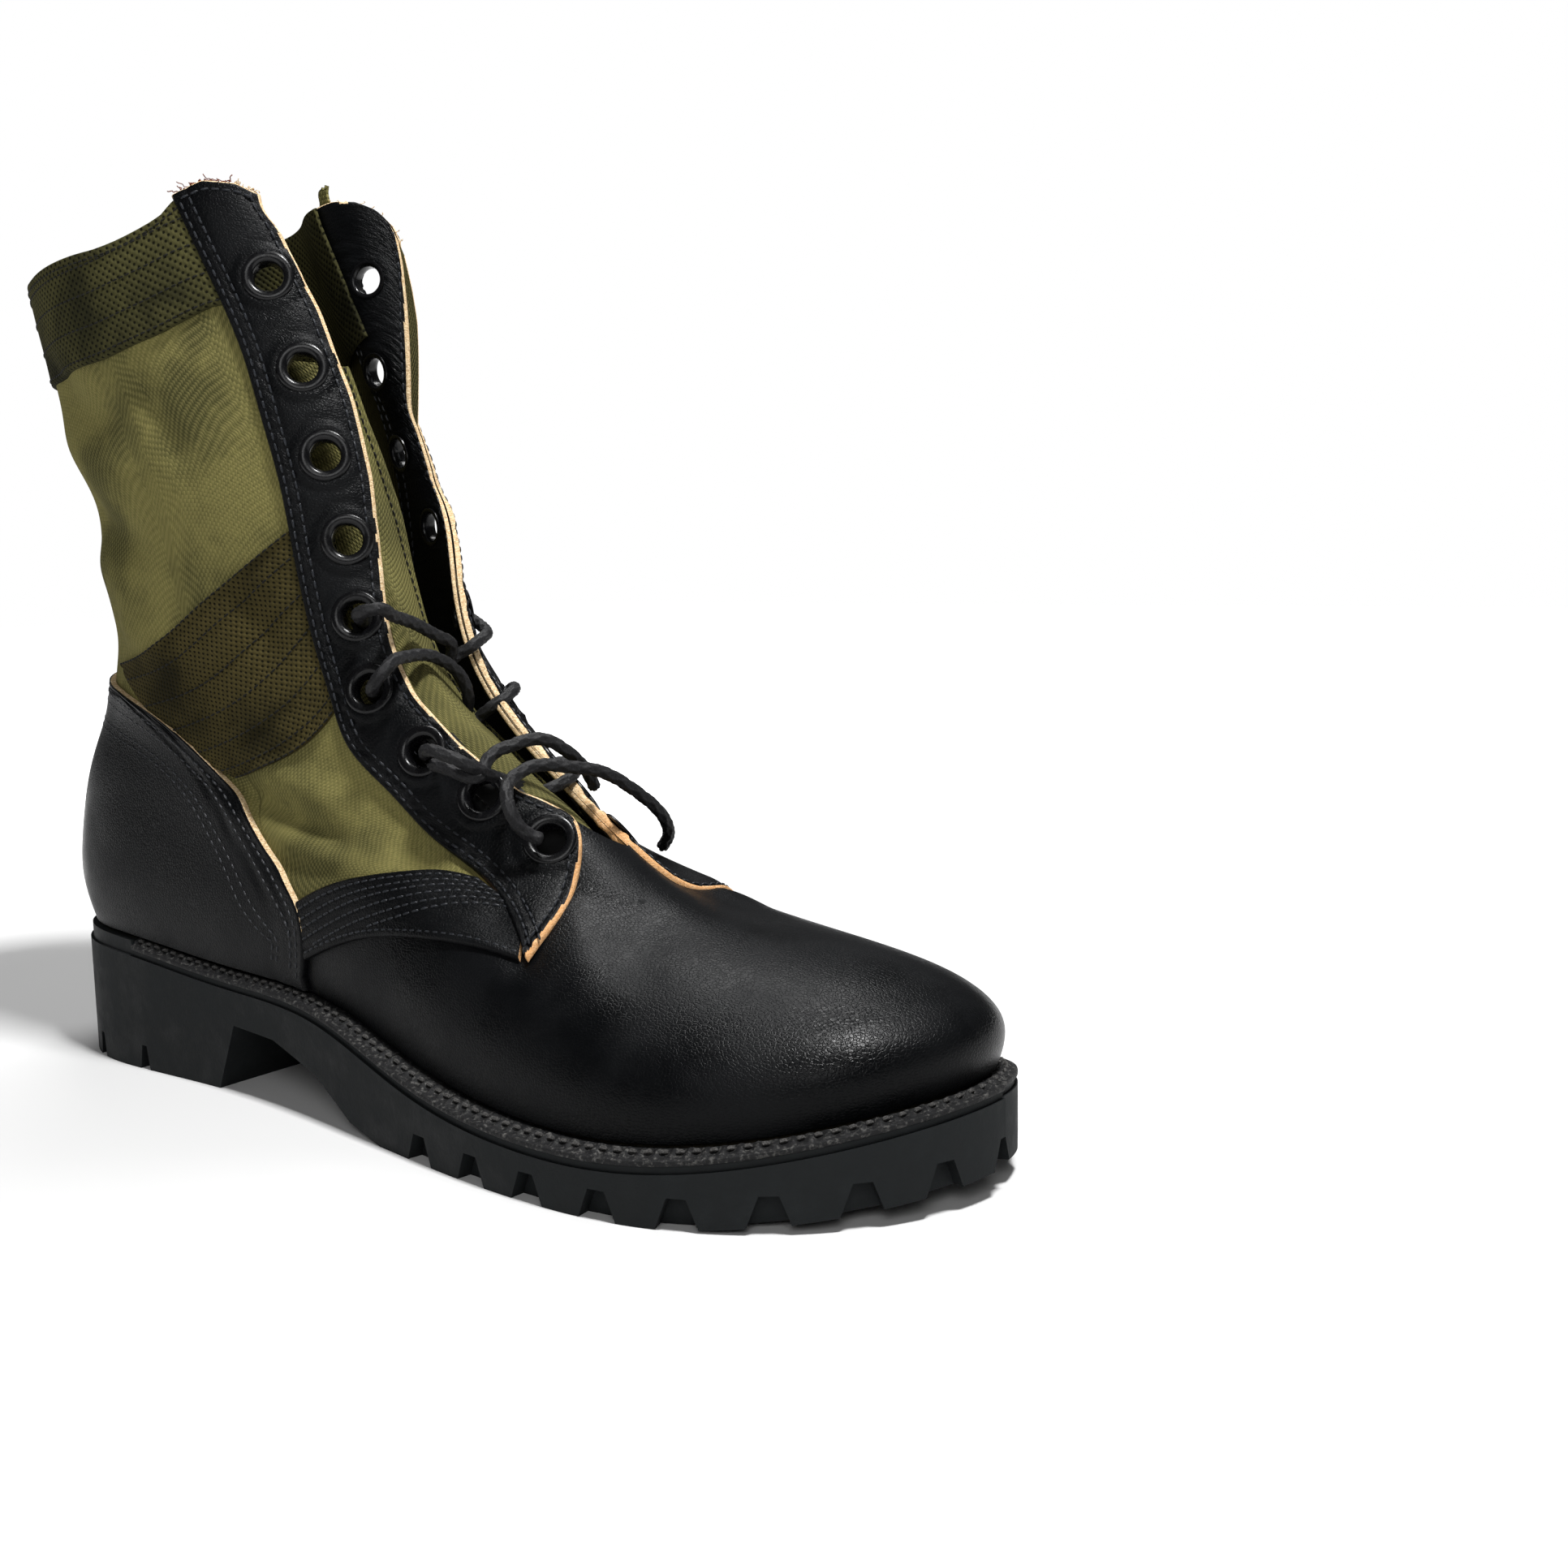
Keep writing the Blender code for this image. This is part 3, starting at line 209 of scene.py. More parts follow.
# Tongue: height along the sections, its outer and its inner edge round the boot, and its depth under the
# surface
TONGUE = [
    (.325, .425, .575, 3.8),
    (.40, .400, .590, 4.2),
    (.48, .392, .585, 6.0),
    (.55, .390, .575, 9.0),
    (.62, .390, .568, 11.0),
    (.70, .390, .541, 12.0),
    (.78, .388, .505, 12.0),
    (.83, .386, .490, 12.0),
]

# Curves


def spline(knots, values, x):
    """Natural cubic spline through (knots, values) at x, with every column of values at once."""
    knots = np.asarray(knots, float)
    values = np.asarray(values, float)
    count = len(knots)
    gap = np.diff(knots)
    matrix = np.zeros((count, count))
    right = np.zeros((count,) + values.shape[1:])
    matrix[0, 0] = 1
    matrix[-1, -1] = 1
    for i in range(1, count - 1):
        matrix[i, i - 1:i + 2] = gap[i - 1], 2 * (gap[i - 1] + gap[i]), gap[i]
        right[i] = 6 * ((values[i + 1] - values[i]) / gap[i] - (values[i] - values[i - 1]) / gap[i - 1])
    bend = np.linalg.solve(matrix, right.reshape(count, -1)).reshape(right.shape)
    x = np.asarray(x, float)
    k = np.clip(np.searchsorted(knots, x) - 1, 0, count - 2)
    shape = x.shape + (1,) * (values.ndim - 1)
    before = (x - knots[k]).reshape(shape)
    after = (knots[k + 1] - x).reshape(shape)
    span = gap[k].reshape(shape)
    return ((bend[k] * after**3 + bend[k + 1] * before**3) / (6 * span)
            + (values[k] / span - bend[k] * span / 6) * after
            + (values[k + 1] / span - bend[k + 1] * span / 6) * before)


def smoothstep(x):
    x = np.clip(x, 0, 1)
    return 3 * x**2 - 2 * x**3


def along(points):
    """Length along a line of points, from 0 to 1."""
    steps = np.linalg.norm(np.diff(np.asarray(points, float), axis=0), axis=1)
    length = np.r_[0, np.cumsum(steps)]
    return length / length[-1]


def sole_line(x):
    return spline(SOLE_LINE_X, SOLE_LINE_Z, np.clip(x, -10, 310))


# The upper's outer surface


def rounding(share, back, front):
    """How wide a section is at a share of its length: a round end at the back and one at the front."""
    from_back = np.clip(1 - share / back, 0, 1)
    from_front = np.clip((share - 1 + front) / front, 0, 1)
    return np.sqrt(1 - from_back**2.1) * np.sqrt(1 - from_front**2.1)


def section(row, inward):
    """One section as a closed line of points, evenly spaced, from the back round the outer side."""
    bx, bz, fx, fz, fy, *widths, back, front, dip, sink, flare = row
    share = (1 - np.cos(np.linspace(0, np.pi, 241))) / 2
    base = SECTIONS[0]
    sides = []
    for sign, (heel, waist, ball) in ((-1, widths[:3]), (1, widths[3:])):
        width = spline((0, .15, .42, .68, 1), (heel, heel, waist, ball, ball), share)
        x = bx + (fx - bx) * share
        y = sign * width * rounding(share, back, front) + fy * share**3
        if sign > 0:
            lapel = smoothstep((share - .80) / .12) * np.sqrt(1 - np.clip((share - .94) / .06, 0, 1)**2)
            y += flare * (lapel - np.exp(-((share - .70) / .13)**2))
        straight = base[1] + (base[3] - base[1]) * (x - base[0]) / (base[2] - base[0])
        weight = dip * (1 - (1 - dip) * np.abs(2 * share - 1)**6)
        z = bz + (fz - bz) * share + weight * (sole_line(x) - straight)
        sunk = sink * smoothstep((y + 14) / 30) * smoothstep((share - .70) / .22)
        points = np.c_[x + sunk * inward[0], y, z + sunk * inward[1]]
        length = along(points)
        even = np.linspace(0, 1, SIDE_SAMPLES)
        sides.append(np.stack([np.interp(even, length, points[:, k]) for k in range(3)], 1))
    return np.concatenate([sides[0], sides[1][-2:0:-1]])


def surface_grid():
    """Points of the outer surface, rows up the boot and columns round it."""
    steps = np.hypot(*np.diff(SECTIONS[:, 0:2], axis=0).T) + np.hypot(*np.diff(SECTIONS[:, 2:4], axis=0).T)
    knots = np.r_[0, np.cumsum(steps)] / steps.sum()
    rows = spline(knots, SECTIONS, np.linspace(0, 1, ROWS_FINE))
    slope = np.gradient(rows[:, 2:4], axis=0)
    slope /= np.linalg.norm(slope, axis=1, keepdims=True)
    grid = np.array([section(row, (-s[1], s[0])) for row, s in zip(rows, slope)])
    for _ in range(6):
        grid = .5 * grid + .25 * (np.roll(grid, 1, 1) + np.roll(grid, -1, 1))
        grid[1:-1] = .5 * grid[1:-1] + .25 * (grid[:-2] + grid[2:])
    return grid


GRID = surface_grid()
AROUND = GRID.shape[1]


def blend_four(p0, p1, p2, p3, f):
    return .5 * (2 * p1 + (p2 - p0) * f + (2 * p0 - 5 * p1 + 4 * p2 - p3) * f**2
                 + (3 * p1 - p0 - 3 * p2 + p3) * f**3)


def surface(a, t):
    """Point at a, round the boot (0 back, outer side, .5 front, inner side), and t, up it (0 to 1)."""
    a, t = np.broadcast_arrays(np.mod(np.asarray(a, float), 1) * AROUND, np.clip(t, 0, 1) * (ROWS_FINE - 1.0))
    i = np.floor(a).astype(int)
    j = np.clip(np.floor(t).astype(int), 0, ROWS_FINE - 2)
    f = (a - i)[..., None]
    g = (t - j)[..., None]
    lines = []
    for dj in (-1, 0, 1, 2):
        row = np.clip(j + dj, 0, ROWS_FINE - 1)
        lines.append(blend_four(*[GRID[row, (i + di) % AROUND] for di in (-1, 0, 1, 2)], f))
    return blend_four(*lines, g)


def normal(a, t):
    step = 2e-3
    across = surface(np.asarray(a) + step, t) - surface(np.asarray(a) - step, t)
    up = surface(a, np.minimum(np.asarray(t) + step, 1)) - surface(a, np.maximum(np.asarray(t) - step, 0))
    n = np.cross(across, up)
    return n / np.linalg.norm(n, axis=-1, keepdims=True)


def raised(at, height):
    """Points over the outer surface at an array of (a, t)."""
    height = np.broadcast_to(height, at.shape[:-1])
    return surface(at[..., 0], at[..., 1]) + normal(at[..., 0], at[..., 1]) * height[..., None]


# Places on the surface

SIDE_A, SIDE_T = np.meshgrid(np.linspace(0, .5, 161), np.linspace(0, 1, 201))
SIDE_XZ = {-1: surface(SIDE_A, SIDE_T)[..., ::2], 1: surface(1 - SIDE_A, SIDE_T)[..., ::2]}


def place(x, z, side):
    """The (a, t) of the surface point seen at (x, z) from one side: -1 outer, 1 inner, where a is below
    0."""
    target = np.array((x, z))
    k = np.unravel_index(((SIDE_XZ[side] - target)**2).sum(-1).argmin(), SIDE_A.shape)
    found = np.array((SIDE_A[k], SIDE_T[k]))
    step = 1e-3
    for _ in range(6):
        a, t = found
        here = surface(-side * a, t)[::2]
        slope_a = (surface(-side * (a + step), t)[::2] - surface(-side * (a - step), t)[::2]) / (2 * step)
        low, high = max(t - step, 0), min(t + step, 1)
        slope_t = (surface(-side * a, high)[::2] - surface(-side * a, low)[::2]) / (high - low)
        move = np.linalg.lstsq(np.stack([slope_a, slope_t], 1), target - here, rcond=None)[0]
        found = np.clip(found + np.clip(move, -.04, .04), 0, (.5, 1))
    return -side * found[0], found[1]


def up_to(a, line):
    """The t at which column a crosses a side-view line of (x, z)."""
    t = np.linspace(0, 1, 401)
    x, _, z = surface(np.full(401, a), t).T
    xs, zs = np.array(line, float).T
    over = z - np.interp(x, xs, zs)
    k = np.where((over[:-1] < 0) & (over[1:] >= 0))[0][-1]
    return t[k] - over[k] * (t[k + 1] - t[k]) / (over[k + 1] - over[k])


def collar(a):
    """The t of the collar's top edge at column a."""
    return up_to(a, COLLAR_TOP[-1 if a > 0 else 1])


def line_on(points, side, count):
    """A side-view line of (x, z) as evenly spaced (a, t) on the surface."""
    return evenly([place(x, z, side) for x, z in points], count)


def evenly(at, count):
    """A line of (a, t), smoothed and spaced evenly over the surface."""
    at = np.asarray(at, float)
    fine = spline(along(surface(at[:, 0], at[:, 1])), at, np.linspace(0, 1, 121))
    length = along(surface(fine[:, 0], fine[:, 1]))
    even = np.linspace(0, 1, count)
    return np.stack([np.interp(even, length, fine[:, k]) for k in range(2)], 1)


def patch(foot, top, left, right, share=None):
    """(a, t) over a four-sided piece from its four edges: foot and top run left to right, left and right
    run up."""
    share = np.linspace(0, 1, len(foot)) if share is None else share
    u = share[None, :, None]
    v = np.linspace(0, 1, len(left))[:, None, None]
    ruled = (1 - v) * foot[None] + v * top[None] + (1 - u) * left[:, None] + u * right[:, None]
    corners = ((1 - u) * (1 - v) * foot[0] + u * (1 - v) * foot[-1] + (1 - u) * v * top[0] + u * v * top[-1])
    return ruled - corners


def throat_edge(t, side):
    """The a of the throat's edge at height t, which is the front line below the throat's start."""
    t = np.asarray(t, float)
    knots = np.r_[THROAT_START, THROAT[:, 0]]
    values = np.r_[-side * .5, THROAT[:, 1 if side < 0 else 2]]
    return np.where(t <= THROAT_START, -side * .5, np.interp(t, knots, values))


# The sole


def plan_line(a, out):
    """The sole line in plan, moved outwards."""
    step = 1e-3
    ahead = surface(a + step, 0)[..., :2] - surface(a - step, 0)[..., :2]
    ahead /= np.linalg.norm(ahead, axis=-1, keepdims=True)
    outward = np.stack([ahead[..., 1], -ahead[..., 0]], -1)
    return surface(a, 0)[..., :2] + outward * np.asarray(out)[..., None]


def ledge(a):
    """How far the sole stands out past the upper, round the boot."""
    x = surface(a, 0)[..., 0]
    outer = np.mod(a, 1) <= .5
    widest = np.where(outer, LEDGE_BALL_OUTER, LEDGE_BALL_INNER)
    return LEDGE_HEEL + (widest - LEDGE_HEEL) * smoothstep((x - 70) / 90)


def edge_y(x, inset, side):
    """The y of the sole's edge, moved inwards by inset, at each x."""
    a = np.linspace(0, .5, 241) * -side
    line = plan_line(a, ledge(a) - inset)
    return np.interp(x, line[:, 0], line[:, 1])


def edge_ends(inset):
    """The x of the sole's back and tip, moved inwards."""
    a = np.array((0, .5))
    return plan_line(a, ledge(a) - inset)[:, 0]


def ground(x):
    return TOE_SPRING * (np.clip(x - SPRING_START, 0, None) / (308 - SPRING_START))**2


def underside(x):
    """Height of the outsole's underside: heel, slanted breast, arch, forefoot and toe spring."""
    breast = np.clip((x - HEEL_BREAST) / BREAST_LEAN, 0, 1) * ARCH_Z[0]
    arch = np.interp(x, ARCH_X, ARCH_Z)
    return np.where(x < ARCH_X[0], breast, arch + ground(x))


def outline_at(distance, side):
    """Point and inward direction on the sole's edge at a distance from the tip."""
    a = np.linspace(.5, .2, 301) * -side
    line = plan_line(a, ledge(a))
    length = np.r_[0, np.cumsum(np.linalg.norm(np.diff(line, axis=0), axis=1))]
    k = min(np.searchsorted(length, distance), len(a) - 2)
    ahead = line[k + 1] - line[max(k - 1, 0)]
    ahead /= np.linalg.norm(ahead)
    inward = np.array((ahead[1], -ahead[0])) * side
    return line[k], inward


def spaced(line, count, offset=0):
    """A line of (a, t) at even steps over the surface, moved sideways by a distance: to the left of its run
    if above 0."""
    at = np.array(line, float)
    share = np.linspace(0, 1, count)
    length = along(surface(at[:, 0], at[:, 1]))
    at = np.stack([np.interp(share, length, at[:, k]) for k in range(2)], 1)
    run = np.gradient(at * SHEET_SCALE, axis=0)
    run /= np.linalg.norm(run, axis=1, keepdims=True)
    return at + np.stack([-run[:, 1], run[:, 0]], 1) * offset / SHEET_SCALE


def throat_rim():
    """The throat's edge from the outer seam round its bottom to the inner seam, where the inner side's a is
    over .5."""
    outer, inner = SEAM[-1][-1], SEAM[1][-1]
    down = [(row[1], row[0]) for row in THROAT[::-1] if row[0] < outer[1]]
    up = [(row[2] + 1, row[0]) for row in THROAT if row[0] < inner[1]]
    return [outer, *down, (.5, THROAT_START), *up, (inner[0] + 1, inner[1])]


def smooth_line(points, spacing):
    """A line of points, smoothed and spaced evenly."""
    points = np.asarray(points, float)
    fine = spline(along(points), points, np.linspace(0, 1, 400))
    length = np.linalg.norm(np.diff(fine, axis=0), axis=1).sum()
    even = np.linspace(0, 1, int(round(length / spacing)) + 1)
    return np.stack([np.interp(even, along(fine), fine[:, k]) for k in range(3)], 1)


# Camera

CAMERA_AT = np.array((499.48, -342.57, 149.08))
CAMERA_RIGHT = np.array((0.80965, 0.58659, -0.01940))
CAMERA_UP = np.array((-0.06395, 0.12104, 0.99059))
CAMERA_LENS = 41.47
SENSOR = 36.0

ORIGIN = np.array((CENTRE_X, CENTRE_Y, 0.0))


def to_frame(points):
    """Millimetres of the boot's own lines to metres of the shared frame."""
    return (np.asarray(points, float) - ORIGIN) * MM


def make_camera():
    data = bpy.data.cameras.new("camera")
    data.lens = CAMERA_LENS
    data.sensor_width = SENSOR
    data.clip_start = 0.01
    obj = bpy.data.objects.new("camera", data)
    bpy.context.scene.collection.objects.link(obj)
    right = CAMERA_RIGHT / np.linalg.norm(CAMERA_RIGHT)
    back = np.cross(right, CAMERA_UP)
    back /= np.linalg.norm(back)
    up = np.cross(back, right)
    turn = Matrix((right, up, back)).transposed()
    obj.matrix_world = Matrix.Translation(to_frame(CAMERA_AT)) @ turn.to_4x4()
    bpy.context.scene.camera = obj


# Materials


class Look:
    """A procedural material that is put together node by node."""

    def __init__(self, name, colour, roughness, metallic=0.0, gloss=0.5):
        self.made = bpy.data.materials.new(name)
        self.made.use_nodes = True
        self.tree = self.made.node_tree
        self.shader = self.tree.nodes["Principled BSDF"]
        self.set("Base Color", (*colour, 1))
        self.set("Roughness", roughness)
        self.set("Metallic", metallic)
        self.set("Specular IOR Level", gloss)
        self.colour = colour
        self.height = None

    def set(self, name, value):
        if isinstance(value, bpy.types.NodeSocket):
            self.tree.links.new(value, self.shader.inputs[name])
        else:
            self.shader.inputs[name].default_value = value

    def node(self, kind, inputs=(), **settings):
        made = self.tree.nodes.new(kind)
        for name, value in settings.items():
            setattr(made, name, value)
        for name, value in dict(inputs).items():
            if isinstance(value, bpy.types.NodeSocket):
                self.tree.links.new(value, made.inputs[name])
            else:
                made.inputs[name].default_value = value
        return made

    def math(self, operation, first, second=0.0, third=0.0):
        return self.node("ShaderNodeMath", {0: first, 1: second, 2: third}, operation=operation).outputs[0]

    def range(self, value, low, high, to_low=0.0, to_high=1.0):
        inputs = {"Value": value, "From Min": low, "From Max": high, "To Min": to_low, "To Max": to_high}
        return self.node("ShaderNodeMapRange", inputs, interpolation_type="SMOOTHSTEP").outputs[0]

    def place(self, scale=(1, 1, 1), cloth=False):
        """Coordinates in millimetres, either along the cloth or in space."""
        source = self.node("ShaderNodeTexCoord").outputs["UV" if cloth else "Object"]
        factor = 1.0 if cloth else 1 / MM
        scaled = [factor * s for s in scale]
        return self.node("ShaderNodeMapping", {"Vector": source, "Scale": scaled}).outputs[0]

    def noise(self, where, size, detail=3.0, roughness=0.55, twist=0.0):
        inputs = {"Vector": where, "Scale": 1 / size, "Detail": detail, "Roughness": roughness,
                  "Distortion": twist}
        return self.node("ShaderNodeTexNoise", inputs).outputs[0]

    def cells(self, where, size, feature="F1"):
        return self.node("ShaderNodeTexVoronoi", {"Vector": where, "Scale": 1 / size}, feature=feature).outputs[0]

    def mix(self, share, first, second):
        made = self.node("ShaderNodeMix", {0: share}, data_type="RGBA")
        for index, value in ((6, first), (7, second)):
            if isinstance(value, bpy.types.NodeSocket):
                self.tree.links.new(value, made.inputs[index])
            else:
                made.inputs[index].default_value = (*value, 1)
        return made.outputs[2]

    def bump(self, height, distance, strength=1.0):
        """Adds fine relief. The distance is in millimetres."""
        inputs = {"Height": height, "Distance": distance * MM, "Strength": strength}
        if self.height is not None:
            inputs["Normal"] = self.height
        self.height = self.node("ShaderNodeBump", inputs).outputs[0]
        self.set("Normal", self.height)


def leather_look(name, roughness=.40, grain=.9, wrinkle=0.0, gloss=.085, scuffs=0.0):
    """Black full-grain leather: pores, a satin that varies, and wrinkles that run round the boot."""
    look = Look(name, (.0035, .0037, .0042), roughness, gloss=gloss)
    space = look.place()
    patches = look.noise(space, 26, 4)
    look.set("Roughness", look.range(patches, .3, .72, roughness - .07, roughness + .13))
    colour = look.mix(look.range(patches, .35, .7), (.0013, .0015, .0018), (.0032, .0035, .0040))
    if scuffs:
        worn = look.range(look.noise(space, 3.2, 8, .72), .72, .80)
        colour = look.mix(look.math("MULTIPLY", worn, scuffs), colour, (.055, .054, .052))
    look.set("Base Color", colour)
    pores = look.cells(look.place((1, 1, 1.25)), .95, "DISTANCE_TO_EDGE")
    look.bump(look.range(pores, 0, .22), .05 * grain)
    look.bump(look.noise(space, 2.6, 6, .62), .07 * grain)
    if wrinkle:
        along_boot = look.place((.20, 1, 1), cloth=True)
        look.bump(look.noise(along_boot, 1.5, 5, .6, .5), .5 * wrinkle)
    return look.made


def weave(look, warp, weft):
    """Signed weave: above 0 the upright thread is on top, below 0 the cross thread is, near 0 there is a
    gap."""
    cloth = look.place(cloth=True)
    parts = look.node("ShaderNodeSeparateXYZ", {0: cloth})
    wander = look.noise(look.place((.25, .25, 1), cloth=True), 3.0, 2)
    u = look.math("MULTIPLY_ADD", wander, .12, parts.outputs[0])
    v = look.math("MULTIPLY_ADD", wander, .12, parts.outputs[1])
    across = look.math("SINE", look.math("MULTIPLY", u, np.pi / warp))
    up = look.math("SINE", look.math("MULTIPLY", v, np.pi / weft))
    return look.math("MULTIPLY", across, up)


def canvas_look(name, light, dark, warp=.80, weft=1.12, gap=.12, relief=.07):
    """Plain-weave duck: threads with painted shade in the gaps between them, and soiled patches."""
    look = Look(name, light, .95, gloss=.05)
    signed = weave(look, warp, weft)
    size = look.math("ABSOLUTE", signed)
    body = look.range(size, .0, .55)
    space = look.place()
    patch_tone = look.range(look.noise(space, 34, 5, .6), .40, .64)
    thread = look.noise(look.place((1, .3, 1), cloth=True), .7, 3)
    tone = look.mix(look.math("MULTIPLY", patch_tone, .85), light, dark)
    tone = look.mix(look.range(thread, .3, .75, 0, .35), tone, (.020, .020, .009))
    sided = look.range(signed, -.3, .3, 0, .22)
    tone = look.mix(sided, tone, (.30, .26, .10))
    # Painted shade in the gaps between the threads
    tone = look.mix(look.math("MULTIPLY", look.math("SUBTRACT", 1, body), gap), tone, (.008, .008, .004))
    look.set("Base Color", tone)
    look.bump(look.math("POWER", size, .6), relief)
    look.bump(look.noise(space, .35, 2), .05)
    return look.made


def webbing_look(name, light, dark, warp=1.25, weft=1.25):
    """Open webbing: a net of threads with painted shade in the holes between them."""
    look = Look(name, light, .95, gloss=.05)
    signed = weave(look, warp, weft)
    size = look.math("ABSOLUTE", signed)
    space = look.place()
    tone = look.mix(look.range(look.noise(space, 26, 5), .34, .74), light, dark)
    ribs = look.noise(look.place((1, .22, 1), cloth=True), .55, 3)
    tone = look.mix(look.range(ribs, .35, .7, 0, .4), tone, dark)
    # Painted shade in the holes between the threads
    holes = look.range(look.math("MULTIPLY", signed, -1), .25, .80)
    tone = look.mix(look.math("MULTIPLY", holes, .95), tone, (.004, .004, .002))
    look.set("Base Color", tone)
    look.bump(look.range(look.math("MULTIPLY", signed, -1), .0, .9, 1, 0), .5)
    look.bump(look.math("POWER", size, .6), .12)
    return look.made


def rubber_look(name, colour, roughness=.62, relief=1.0):
    look = Look(name, colour, roughness, gloss=.12)
    space = look.place()
    dust = look.noise(space, 14, 6, .65)
    pale = tuple(min(1, c * 1.8 + .002) for c in colour)
    look.set("Base Color", look.mix(look.range(dust, .42, .78, 0, .7), colour, pale))
    look.set("Roughness", look.range(dust, .3, .7, roughness - .08, roughness + .14))
    look.bump(look.noise(space, .8, 4), .06 * relief)
    look.bump(look.noise(space, 5, 4), .18 * relief)
    return look.made


def welt_look():
    """Sewn strip, rubbed grey on its ridges."""
    look = Look("welt", (.012, .012, .012), .6, gloss=.2)
    space = look.place()
    rubbed = look.noise(space, 1.1, 6, .7)
    colour = look.mix(look.range(rubbed, .50, .70), (.0055, .0055, .006), (.085, .083, .078))
    look.set("Base Color", colour)
    look.bump(rubbed, .35)
    return look.made


def raw_look(name, light, dark, spots=.55):
    """Cut edge of leather: pale fibres with brown specks."""
    look = Look(name, light, .9, gloss=.15)
    space = look.place()
    fibre = look.noise(look.place((1, 1, 3)), .9, 6, .7)
    tone = look.mix(look.range(fibre, .38, .66), dark, light)
    parts = look.node("ShaderNodeSeparateXYZ", {0: space})
    low = look.range(parts.outputs[2], 86, 72)
    fresh = look.math("MULTIPLY", low, look.range(parts.outputs[0], 20, 40, 0, .6))
    tone = look.mix(fresh, tone, (.52, .22, .06))
    specks = look.range(look.noise(space, .75, 3), .58, .68)
    tone = look.mix(look.math("MULTIPLY", specks, spots), tone, (.09, .045, .02))
    look.set("Base Color", tone)
    look.bump(fibre, .35)
    return look.made


def thread_look(name, colour, roughness=.55):
    look = Look(name, colour, roughness, gloss=.2)
    space = look.place()
    lay = look.noise(space, .35, 3)
    pale = tuple(c * 2.6 for c in colour)
    look.set("Base Color", look.mix(look.range(lay, .4, .7), colour, pale))
    look.bump(lay, .08)
    return look.made


def enamel_look():
    look = Look("enamel", (.0022, .0022, .0026), .28, gloss=.22)
    chips = look.noise(look.place(), 1.4, 6, .7)
    look.set("Roughness", look.range(chips, .4, .75, .22, .42))
    look.bump(look.noise(look.place(), 2.2, 3), .05)
    return look.made


def metal_look(name, colour, roughness):
    look = Look(name, colour, roughness, metallic=.9)
    dirt = look.noise(look.place(), 1.6, 6, .7)
    look.set("Base Color", look.mix(look.range(dirt, .42, .62), colour, (.012, .011, .008)))
    look.bump(dirt, .06)
    return look.made


def board_look():
    look = Look("board", (.030, .026, .018), .9, gloss=.1)
    fibre = look.noise(look.place(), 1.2, 6, .7)
    look.set("Base Color", look.mix(look.range(fibre, .35, .7), (.022, .019, .013), (.050, .042, .028)))
    look.bump(fibre, .2)
    return look.made


def floor_look():
    """Pale floor, as bright far away as it is under the light."""
    look = Look("floor", (.58, .58, .58), .9, gloss=0.0)
    far = look.node("ShaderNodeVectorMath", {0: look.place()}, operation="LENGTH").outputs["Value"]
    look.set("Emission Color", (1, 1, 1, 1))
    look.set("Emission Strength", look.range(far, 240, 620, 0, 1))
    return look.made


# Meshes


def link(obj, nodes=()):
    """Puts a piece on the boot and hides the solids that it stands for."""
    bpy.context.scene.collection.objects.link(obj)
    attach(obj, "root")
    if nodes:
        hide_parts(*nodes)
    return obj


def face_outwards(mesh):
    bm = bmesh.new()
    bm.from_mesh(mesh)
    bmesh.ops.recalc_face_normals(bm, faces=bm.faces)
    bm.to_mesh(mesh)
    bm.free()


def piece(name, points, faces, looks, slot, nodes=(), kinds=None, uv=None, sharp=42, turn=True):
    """A piece from points in millimetres, faces as lists of points, and each face's look."""
    mesh = bpy.data.meshes.new(name)
    faces = faces.tolist() if isinstance(faces, np.ndarray) else faces
    mesh.from_pydata(to_frame(points).tolist(), [], faces)
    for made in looks:
        mesh.materials.append(made)
    if kinds is not None:
        mesh.polygons.foreach_set("material_index", np.asarray(kinds, np.int32))
    if uv is not None:
        layer = mesh.uv_layers.new(name="cloth")
        corner = np.empty(len(mesh.loops), np.int32)
        mesh.loops.foreach_get("vertex_index", corner)
        layer.data.foreach_set("uv", np.asarray(uv, np.float32)[corner].ravel())
    if turn:
        face_outwards(mesh)
    mesh.shade_smooth()
    mesh.set_sharp_from_angle(angle=np.radians(sharp))
    return link(bpy.data.objects.new(name, mesh), nodes)


def grid_faces(rows, columns, start=0, ring=False):
    """Four-sided faces over a grid of points."""
    index = start + np.arange(rows * columns).reshape(rows, columns)
    if ring:
        index = np.concatenate([index, index[:, :1]], 1)
    return np.stack([index[:-1, :-1], index[:-1, 1:], index[1:, 1:], index[1:, :-1]], -1).reshape(-1, 4)


def grid_lengths(points):
    """Millimetres across each row and up each column of a grid of points."""
    across = np.linalg.norm(np.diff(points, axis=1), axis=2)
    up = np.linalg.norm(np.diff(points, axis=0), axis=2)
    u = np.concatenate([np.zeros((len(points), 1)), np.cumsum(across, 1)], 1)
    v = np.concatenate([np.zeros((1, points.shape[1])), np.cumsum(up, 0)], 0)
    return u, v


def cloth_uv(points):
    """Millimetres along the cloth, counted from its middle column."""
    u, v = grid_lengths(points)
    middle = points.shape[1] // 2
    return np.stack([u - u[:, middle:middle + 1], v], -1)


def from_edges(points):
    """Distance of each grid point from the grid's foot, right, top and left edge, in millimetres."""
    u, v = grid_lengths(points)
    return [v, u[:, -1:] - u, v[-1:] - v, u]


